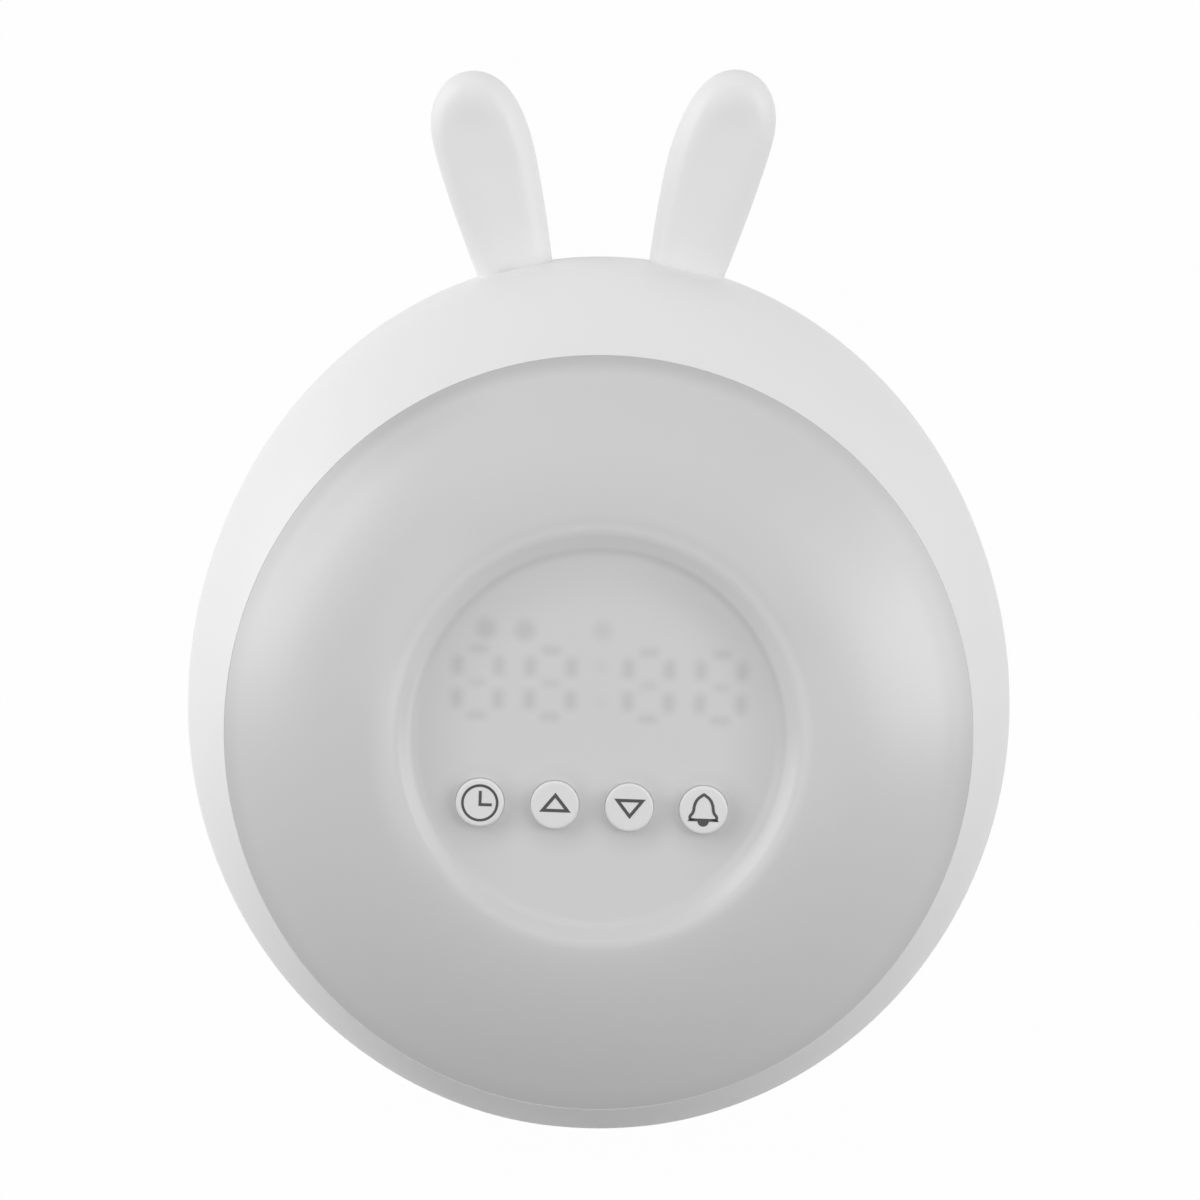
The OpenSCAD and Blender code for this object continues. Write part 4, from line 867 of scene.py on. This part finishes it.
def ear(side):
    """One ear, its foot cut to the head's form."""
    angles = [2 * math.pi * k / EAR_N for k in range(EAR_N)]
    foot = [(t, foot_height(t, side)) for t in angles]
    neck = 0.9  # above the foot's edge and crease
    rings = []
    for up, groove in ((-0.2, CREASE), (0.3, CREASE), (neck, 0.0)):
        rings.append([ear_point(z + up, t, side, -groove * crease(t, side)) for t, z in foot])
    for i in range(1, 15):
        f = i / 14
        rings.append([ear_point((z + neck) * (1 - f) + EAR_WIDE_Z * f, t, side) for t, z in foot])
    for i in range(1, 23):
        z = EAR_WIDE_Z + (EAR_TIP - EAR_WIDE_Z) * math.sin(math.pi / 2 * i / 22.6)
        rings.append([ear_point(z, t, side) for t in angles])
    verts, faces = strips(rings)
    tip = len(verts)
    last = tip - EAR_N
    verts.append(Vector((ear_mid(EAR_TIP, side), EAR_Y, EAR_TIP)))
    faces += [(last + k, last + (k + 1) % EAR_N, tip) for k in range(EAR_N)]
    faces.append(tuple(range(EAR_N)))
    share = 1.0 if side > 0 else LEFT_TIP
    placed = []
    for v in verts:
        height = min(v.z, EAR_WIDE_Z) + max(0.0, v.z - EAR_WIDE_Z) * share
        placed.append(Vector((v.x * side, v.y, height)))
    which = "right" if side > 0 else "left"
    return build("ear_" + which, placed, faces, "clock", "shell_white", (which + "_ear",), angle=50)


# ---- diffuser ----

def dome_point(t, depth=0.0):
    """Point of the dome's section from the crest (0) to the bezel edge (1), or that far under it."""
    run, rise = OPEN_R - CREST_R, CREST_W + DOME_SINK
    slope = DOME_POW * rise / run * t ** (DOME_POW - 1)
    k = depth / math.hypot(1, slope)
    return (CREST_R + run * t - slope * k, CREST_W - rise * t ** DOME_POW - k)


def roll_point(a, depth=0.0):
    """Point of the roll between the recess's wall and the crest, at an angle past the crest."""
    return CREST_R - (ROLL_R - depth) * math.sin(a), CREST_W - ROLL_R + (ROLL_R - depth) * math.cos(a)


def corner_point(t, floor_r):
    """Point of the concave corner between the dial floor and the sloping wall."""
    return (floor_r - CORNER * (1 - t) ** 2 + CORNER * t * t * math.cos(ROLL_A),
            DIAL_W + CORNER * t * t * math.sin(ROLL_A))


def diffuser():
    """Frosted dome with its dial recess: floor, concave corner, roll, crest, dome, side, flange."""
    side_r = OPEN_R - DIF_PLAY
    roll_low = CREST_W - ROLL_R * (1 - math.cos(ROLL_A))
    floor_r = CREST_R - ROLL_R * math.sin(ROLL_A) - (roll_low - DIAL_W) / math.tan(ROLL_A)
    floor_in = DIAL_W - DIF_T
    profile = [corner_point(i / 6, floor_r) for i in range(7)]
    profile += [roll_point(ROLL_A * (1 - i / 10)) for i in range(10)] + [(CREST_R, CREST_W)]
    for i in range(1, 35):
        profile.append(dome_point((i / 34) ** 1.5 * (side_r - CREST_R) / (OPEN_R - CREST_R)))
    profile += [(side_r, -LIP_T), (FLANGE_R, -LIP_T), (FLANGE_R, -LIP_T - DIF_T),
                (side_r - DIF_T, -LIP_T - DIF_T)]
    profile += [dome_point(t, DIF_T) for t in (0.97, 0.8, 0.65, 0.5, 0.35, 0.2, 0.1, 0.04)]
    profile += [roll_point(ROLL_A * i / 5, DIF_T) for i in range(6)]
    profile += [(floor_r + DIF_T * math.tan(ROLL_A / 2), floor_in), (floor_r - CORNER, floor_in)]
    holes = [round_shape(KEY_R + KEY_PLAY, 64, x, -KEY_DROP) for x in KEY_XS]
    steps = edge_steps(DIAL_KEY_EDGE, DIAL_W, floor_in)
    floor = circle(floor_r - CORNER, DOME_N)
    parts = [turned(on_dome, profile, DOME_N)]
    for g, w in (steps[0], steps[-1]):
        parts.append(flat(on_dome, floor, [shape(g) for shape in holes], w))
    parts += [walls(on_dome, shape, steps) for shape in holes]
    return build("diffuser_dome", *join(*parts), "clock", "diffuser_milk", ("diffuser",))


# ---- keys and their marks ----

def key(kind, place, x, y, wall, top, stem):
    """Push key: stem, flange hidden under the wall, cap with a rounded edge and a hardly dished top."""
    under = wall - KEY_FLANGE_GAP - KEY_FLANGE_T
    bevel_r, dish_w = KEY_R - KEY_SOFT, top - KEY_DISH
    profile = [(STEM_R, stem), (STEM_R, under), (KEY_FLANGE_R, under),
               (KEY_FLANGE_R, under + KEY_FLANGE_T), (KEY_R, under + KEY_FLANGE_T)]
    profile += [(bevel_r + px, top - KEY_SOFT + pw) for px, pw in arc(0, 0, KEY_SOFT, 0, 90, 8)]
    profile += [(bevel_r - 1.0, top - KEY_BROW), (KEY_DISH_R, dish_w)]
    parts = [turned(place, profile, KEY_N, x, y), cap(place, STEM_R, stem, KEY_N, x, y),
             cap(place, KEY_DISH_R, dish_w, KEY_N, x, y)]
    return build("cap_" + kind, *join(*parts), kind + "_key", "key_white", (kind + "_key",))


MITRE = 0.35  # share that keeps a sharp corner short


def stroke(points, width, closed):
    """Both sides of a printed line along points, with mitred corners."""
    points = [Vector(p) for p in points]
    ahead = [(b - a).normalized() for a, b in zip(points, points[1:] + points[:1])]
    last = len(points) - 1
    left, right = [], []
    for i, p in enumerate(points):
        leave = ahead[i if closed or i < last else i - 1]
        arrive = ahead[i - 1] if closed or i else leave
        along = (arrive + leave).normalized()
        out = Vector((-along.y, along.x))
        reach = width / 2 / max(MITRE, out.dot(Vector((-leave.y, leave.x))))
        left.append(p + out * reach)
        right.append(p - out * reach)
    return left, right


def ribbon(place, points, width, closed, w0, w1):
    """Thin raised line."""
    left, right = stroke(points, width, closed)
    n = len(points)
    up = 2 * n
    verts = [place(p.x, p.y, w) for w in (w0, w1) for p in left + right]
    faces = []
    for i in range(n if closed else n - 1):
        j = (i + 1) % n
        l0, l1, r0, r1 = i, j, n + i, n + j
        faces += [(l0, l1, r1, r0), (up + l0, up + r0, up + r1, up + l1),
                  (l0, up + l0, up + l1, l1), (r0, r1, up + r1, up + r0)]
    if not closed:
        faces += [(i, n + i, up + n + i, up + i) for i in (0, n - 1)]
    return verts, faces


def smooth_loop(points, steps):
    """Closed Catmull-Rom curve through the points."""
    out = []
    n = len(points)
    for i in range(n):
        p = [points[j % n] for j in (i - 1, i, i + 1, i + 2)]
        for k in range(steps):
            t = k / steps
            out.append(tuple(0.5 * (2 * p[1][c] + (p[2][c] - p[0][c]) * t
                                    + (2 * p[0][c] - 5 * p[1][c] + 4 * p[2][c] - p[3][c]) * t * t
                                    + (3 * p[1][c] - p[0][c] - 3 * p[2][c] + p[3][c]) * t ** 3)
                             for c in (0, 1)))
    return out


# width of a printed line and its lower and upper height; right half of the bell, from the bottom up
LINE, MARK_W0, MARK_W1 = 0.56, KEY_TOP - 0.06, KEY_TOP + 0.012
HALF_BELL = ((2.1, -1.82), (2.62, -1.8), (2.93, -1.45), (2.78, -0.98), (2.38, -0.55), (2.14, 0.1),
             (2.0, 1.0), (1.62, 1.9), (1.1, 2.5), (0.55, 2.86), (0.0, 3.2))
BELL, BELL_WIDE, BELL_TALL, BELL_LOW = 0.92, 0.96, 1.06, 0.1
CLAPPER_X, CLAPPER_Y, CLAPPER_LOW = 1.1, 1.05, -2.1


def near_key(x):
    """Frame round the middle of a dial key."""
    def place(u, v, w):
        return on_dial(x + u, v - KEY_DROP, w)
    return place


def mark(kind, parts):
    """One printed mark, which moves with its key."""
    return build("mark_" + kind, *join(*parts), kind + "_key", "key_white", angle=25, weighted=False,
                 look="mark_grey")


def bell_mark(place):
    """Bell outline with its clapper."""
    mirrored = [(-x, y) for x, y in reversed(HALF_BELL[:-1])]
    bell = [(x * BELL * BELL_WIDE, y * BELL * BELL_TALL - BELL_LOW) for x, y in [*HALF_BELL, *mirrored]]
    clapper = []
    for k in range(17):
        a = math.pi * (1 + k / 16)
        clapper.append((CLAPPER_X * math.cos(a), CLAPPER_LOW + CLAPPER_Y * math.sin(a)))
    n = len(clapper)
    verts = [place(x, y, w) for w in (MARK_W0, MARK_W1) for x, y in clapper]
    faces = [tuple(range(n)), tuple(range(n, 2 * n))]
    faces += [(k, (k + 1) % n, n + (k + 1) % n, n + k) for k in range(n)]
    return [ribbon(place, smooth_loop(bell, 5), LINE, True, MARK_W0, MARK_W1), (verts, faces)]


def marks():
    """The four generic marks, printed a hair proud of the caps."""
    time, up, down, alarm = [near_key(x) for x in KEY_XS]
    hands = [(0.04, 2.32), (0.04, -0.32), (2.3, -0.32)]
    mark("time", [ribbon(time, circle(3.34, 72), LINE * 0.92, True, MARK_W0, MARK_W1),
                  ribbon(time, hands, LINE, False, MARK_W0, MARK_W1 + 0.002)])
    for kind, place, corners in (("up", up, [(0.08, 1.95), (-2.32, -1.0), (2.5, -1.0)]),
                                 ("down", down, [(0.1, -1.65), (2.5, 1.38), (-2.34, 1.38)])):
        mark(kind, [ribbon(place, corners, LINE * 1.1, True, MARK_W0, MARK_W1)])
    mark("alarm", bell_mark(alarm))


# ---- back fittings and feet ----

# finger notch: radius, how flat it is, place of its straight side, depth, slope, soft edge
NOTCH_R, NOTCH_FLAT, NOTCH_EDGE, NOTCH_IN = 6.0, 1.2, 1.0, 1.6
NOTCH_DEPTH, NOTCH_DROP, NOTCH_SOFT = 0.62, 0.6, 0.25
DOOR_SINK, DOOR_SEAT, DOOR_END, DOOR_WALL, DOOR_HOLLOW, PLUG_SOFT = 0.02, 1.15, 1.6, 1.65, 1, 0.2


def notch(grow):
    """Outline of the door's finger notch: half an ellipse that hangs from its straight upper side."""
    z = BAY_Z + BAY_S / 2 + NOTCH_EDGE - NOTCH_IN
    cut = []
    for k in range(41):
        a = math.pi * (1 + k / 40)
        cut.append((BAY_X + (NOTCH_R + grow) * math.cos(a), z + (NOTCH_R - NOTCH_FLAT + grow) * math.sin(a)))
    return cut


def battery_door():
    """Battery door with round corners, a finger notch and a hollow plug that fills the bay."""
    i = BAY_S / 2 - DOOR_PLAY
    outer = bay_shape(i + BAY_RIM, 1.1, 0.2, 5)
    plug = bay_shape(i, 0.8, 0.8, 5)
    well = bay_shape(i - DOOR_WALL, 0.8, 0.8, 5)
    y1 = PANEL_Y1 - DOOR_SINK
    seat, end, hollow = PANEL_Y1 - DOOR_SEAT, PANEL_Y0 - DOOR_END, PANEL_Y0 + DOOR_HOLLOW
    low = y1 - NOTCH_DEPTH
    parts = [flat(at_back, outer(DOOR_EDGE[0][0]), [notch(0.0)], y1),
             walls(at_back, outer, edge_steps(DOOR_EDGE, y1, seat)),
             walls(at_back, notch, [(0, y1), (-NOTCH_SOFT, y1 - NOTCH_SOFT), (-NOTCH_DROP, low)]),
             flat(at_back, notch(-NOTCH_DROP), [], low),
             flat(at_back, outer(0), [plug(0)], seat),
             walls(at_back, plug, [(0, seat), (0, end + PLUG_SOFT), (-PLUG_SOFT, end)]),
             flat(at_back, plug(-PLUG_SOFT), [well(0)], end),
             walls(at_back, well, [(0, end), (0, hollow)]),
             flat(at_back, well(0), [], hollow)]
    return build("battery_cover", *join(*parts), "battery_door", "shell_white", ("battery_door",))


def feet():
    """Four stick-on feet with rounded edges."""
    low = BASE - FOOT_T
    inset = FOOT_R - FOOT_SOFT
    profile = [(FOOT_R, BASE)]
    profile += [(inset + px, low + FOOT_SOFT + pw) for px, pw in arc(0, 0, FOOT_SOFT, 0, -90, 5)]
    parts = []
    for x in FOOT_XS:
        for y in FOOT_YS:
            parts += [turned(upright, profile, FOOT_N, x, y), cap(upright, FOOT_R, BASE, FOOT_N, x, y),
                      cap(upright, inset, low, FOOT_N, x, y)]
    return build("feet", *join(*parts), "clock", "foot_rubber", ("rubber_feet",))


# ---- studio ----

def seen_directly(tree):
    """1 for rays from the camera, in reflections and through clear things."""
    path = tree.nodes.new("ShaderNodeLightPath")
    seen = path.outputs["Is Camera Ray"]
    for kind in ("Is Glossy Ray", "Is Transmission Ray"):
        either = tree.nodes.new("ShaderNodeMath")
        either.operation = "MAXIMUM"
        tree.links.new(seen, either.inputs[0])
        tree.links.new(path.outputs[kind], either.inputs[1])
        seen = either.outputs[0]
    return seen


FLOOR_SIZE, FLOOR_WHITE = 6.0, 0.985


def floor_material():
    """Pale studio floor: white to the camera and in reflections, with a soft shadow kept."""
    g = Graph("studio_floor", (0.3, 0.3, 0.3), 0.7)
    glow = g.node("ShaderNodeEmission", {"Color": (1, 1, 1, 1), "Strength": 1.0})
    mix = g.node("ShaderNodeMixShader", {0: g.times(seen_directly(g.tree), FLOOR_WHITE),
                                         1: g.bsdf.outputs[0], 2: glow.outputs[0]})
    out = [n for n in g.tree.nodes if n.type == "OUTPUT_MATERIAL"][0]
    g.fill(out, {"Surface": mix.outputs[0]})
    return g.mat


def studio():
    """Flat floor under the clock."""
    me = bpy.data.meshes.new("studio_floor")
    s = FLOOR_SIZE
    me.from_pydata([(-s, -s, 0), (s, -s, 0), (s, s, 0), (-s, s, 0)], [], [(0, 1, 2, 3)])
    me.materials.append(floor_material())
    floor = add("studio_floor", me)


def background(tree, strength):
    """Even white light."""
    n = tree.nodes.new("ShaderNodeBackground")
    n.inputs["Color"].default_value = (1, 1, 1, 1)
    n.inputs["Strength"].default_value = strength
    return n.outputs[0]


def world(strength):
    """Soft light from all round, which looks plain white itself."""
    w = bpy.data.worlds.new("studio")
    bpy.context.scene.world = w
    w.use_nodes = True
    tree = w.node_tree
    tree.nodes.clear()
    mix = tree.nodes.new("ShaderNodeMixShader")
    out = tree.nodes.new("ShaderNodeOutputWorld")
    sources = (seen_directly(tree), background(tree, strength), background(tree, 1.0))
    for socket, source in zip(mix.inputs, sources):
        tree.links.new(source, socket)
    tree.links.new(mix.outputs[0], out.inputs["Surface"])


LIGHT_AIM = Vector((0.0, -0.03, 0.09))
# name, azimuth (0 is the front, 90 the right) and elevation in degrees, distance, size, power
LIGHTS = (
    ("left_box", -76, 30, 1.1, (0.8, 0.8), 1.8),
    ("left_edge", -100, 15, 1.2, (0.7, 0.9), 2.9),
    ("left_near", -68, 24, 1.1, (0.4, 0.8), 1.9),
    ("right_low", 72, 18, 1.1, (0.5, 0.8), 1.7),
    ("right_front", 56, 14, 1.1, (0.5, 0.5), 1.75),
    ("right_near", 42, 24, 1.1, (0.4, 0.6), 0.63),
    ("right_edge", 100, 15, 1.2, (0.7, 0.9), 0.25),
    ("top_front", 0, 52, 1.3, (1.1, 0.5), 0.57),
    ("front_fill", 0, 12, 1.6, (1.2, 0.7), 1.3),
)


def softbox(name, azimuth, elevation, distance, size, power):
    """Area light that faces the clock."""
    a, e = math.radians(azimuth), math.radians(elevation)
    back = Vector((math.sin(a) * math.cos(e), -math.cos(a) * math.cos(e), math.sin(e)))
    data = bpy.data.lights.new(name, "AREA")
    data.shape = "RECTANGLE"
    data.size, data.size_y = size
    data.energy = power
    lamp = add(name, data)
    lamp.location = LIGHT_AIM + back * distance
    lamp.rotation_mode = "QUATERNION"
    lamp.rotation_quaternion = (-back).to_track_quat("-Z", "Y")


# camera: 1.2 m away, looking 15.5 degrees down; place in mm, focal length in widths of the image
EYE, PITCH, YAW, ROLL = Vector((-0.34, -1147.43, 422.3)), 15.478, 0.019, 0.545
SENSOR, FOCAL = 36.0, 6000.5 / 1200.0


def camera():
    """View from the front and a little above."""
    pitch, yaw, roll = math.radians(PITCH), math.radians(YAW), math.radians(ROLL)
    d = Vector((math.sin(yaw) * math.cos(pitch), math.cos(yaw) * math.cos(pitch), -math.sin(pitch)))
    r = Vector((math.cos(yaw), -math.sin(yaw), 0))
    u = r.cross(d)
    right = r * math.cos(roll) + u * math.sin(roll)
    up = u * math.cos(roll) - r * math.sin(roll)
    data = bpy.data.cameras.new("camera")
    data.sensor_width = SENSOR
    data.sensor_fit = "HORIZONTAL"
    data.lens = FOCAL * SENSOR
    data.clip_start, data.clip_end = 0.05, 50.0
    cam = add("camera", data)
    m = Matrix((right, up, -d)).transposed().to_4x4()
    m.translation = EYE * MM
    cam.matrix_world = m
    bpy.context.scene.camera = cam


# ---- the scene ----

finish_solids()
front_housing()
rear_housing()
ear(1)
ear(-1)
diffuser()
for kind, x in zip(("time", "up", "down", "alarm"), KEY_XS):
    key(kind, on_dial, x, -KEY_DROP, DIAL_W - DIF_T, KEY_TOP, PLUNGER_TOP)
marks()
key("light", at_back, PORT_X, LKEY_Z, PANEL_Y0, LKEY_TOP, LKEY_STEM)
battery_door()
feet()
studio()
camera()
world(0.49)
for row in LIGHTS:
    softbox(*row)
bpy.context.scene.view_settings.view_transform = "Standard"
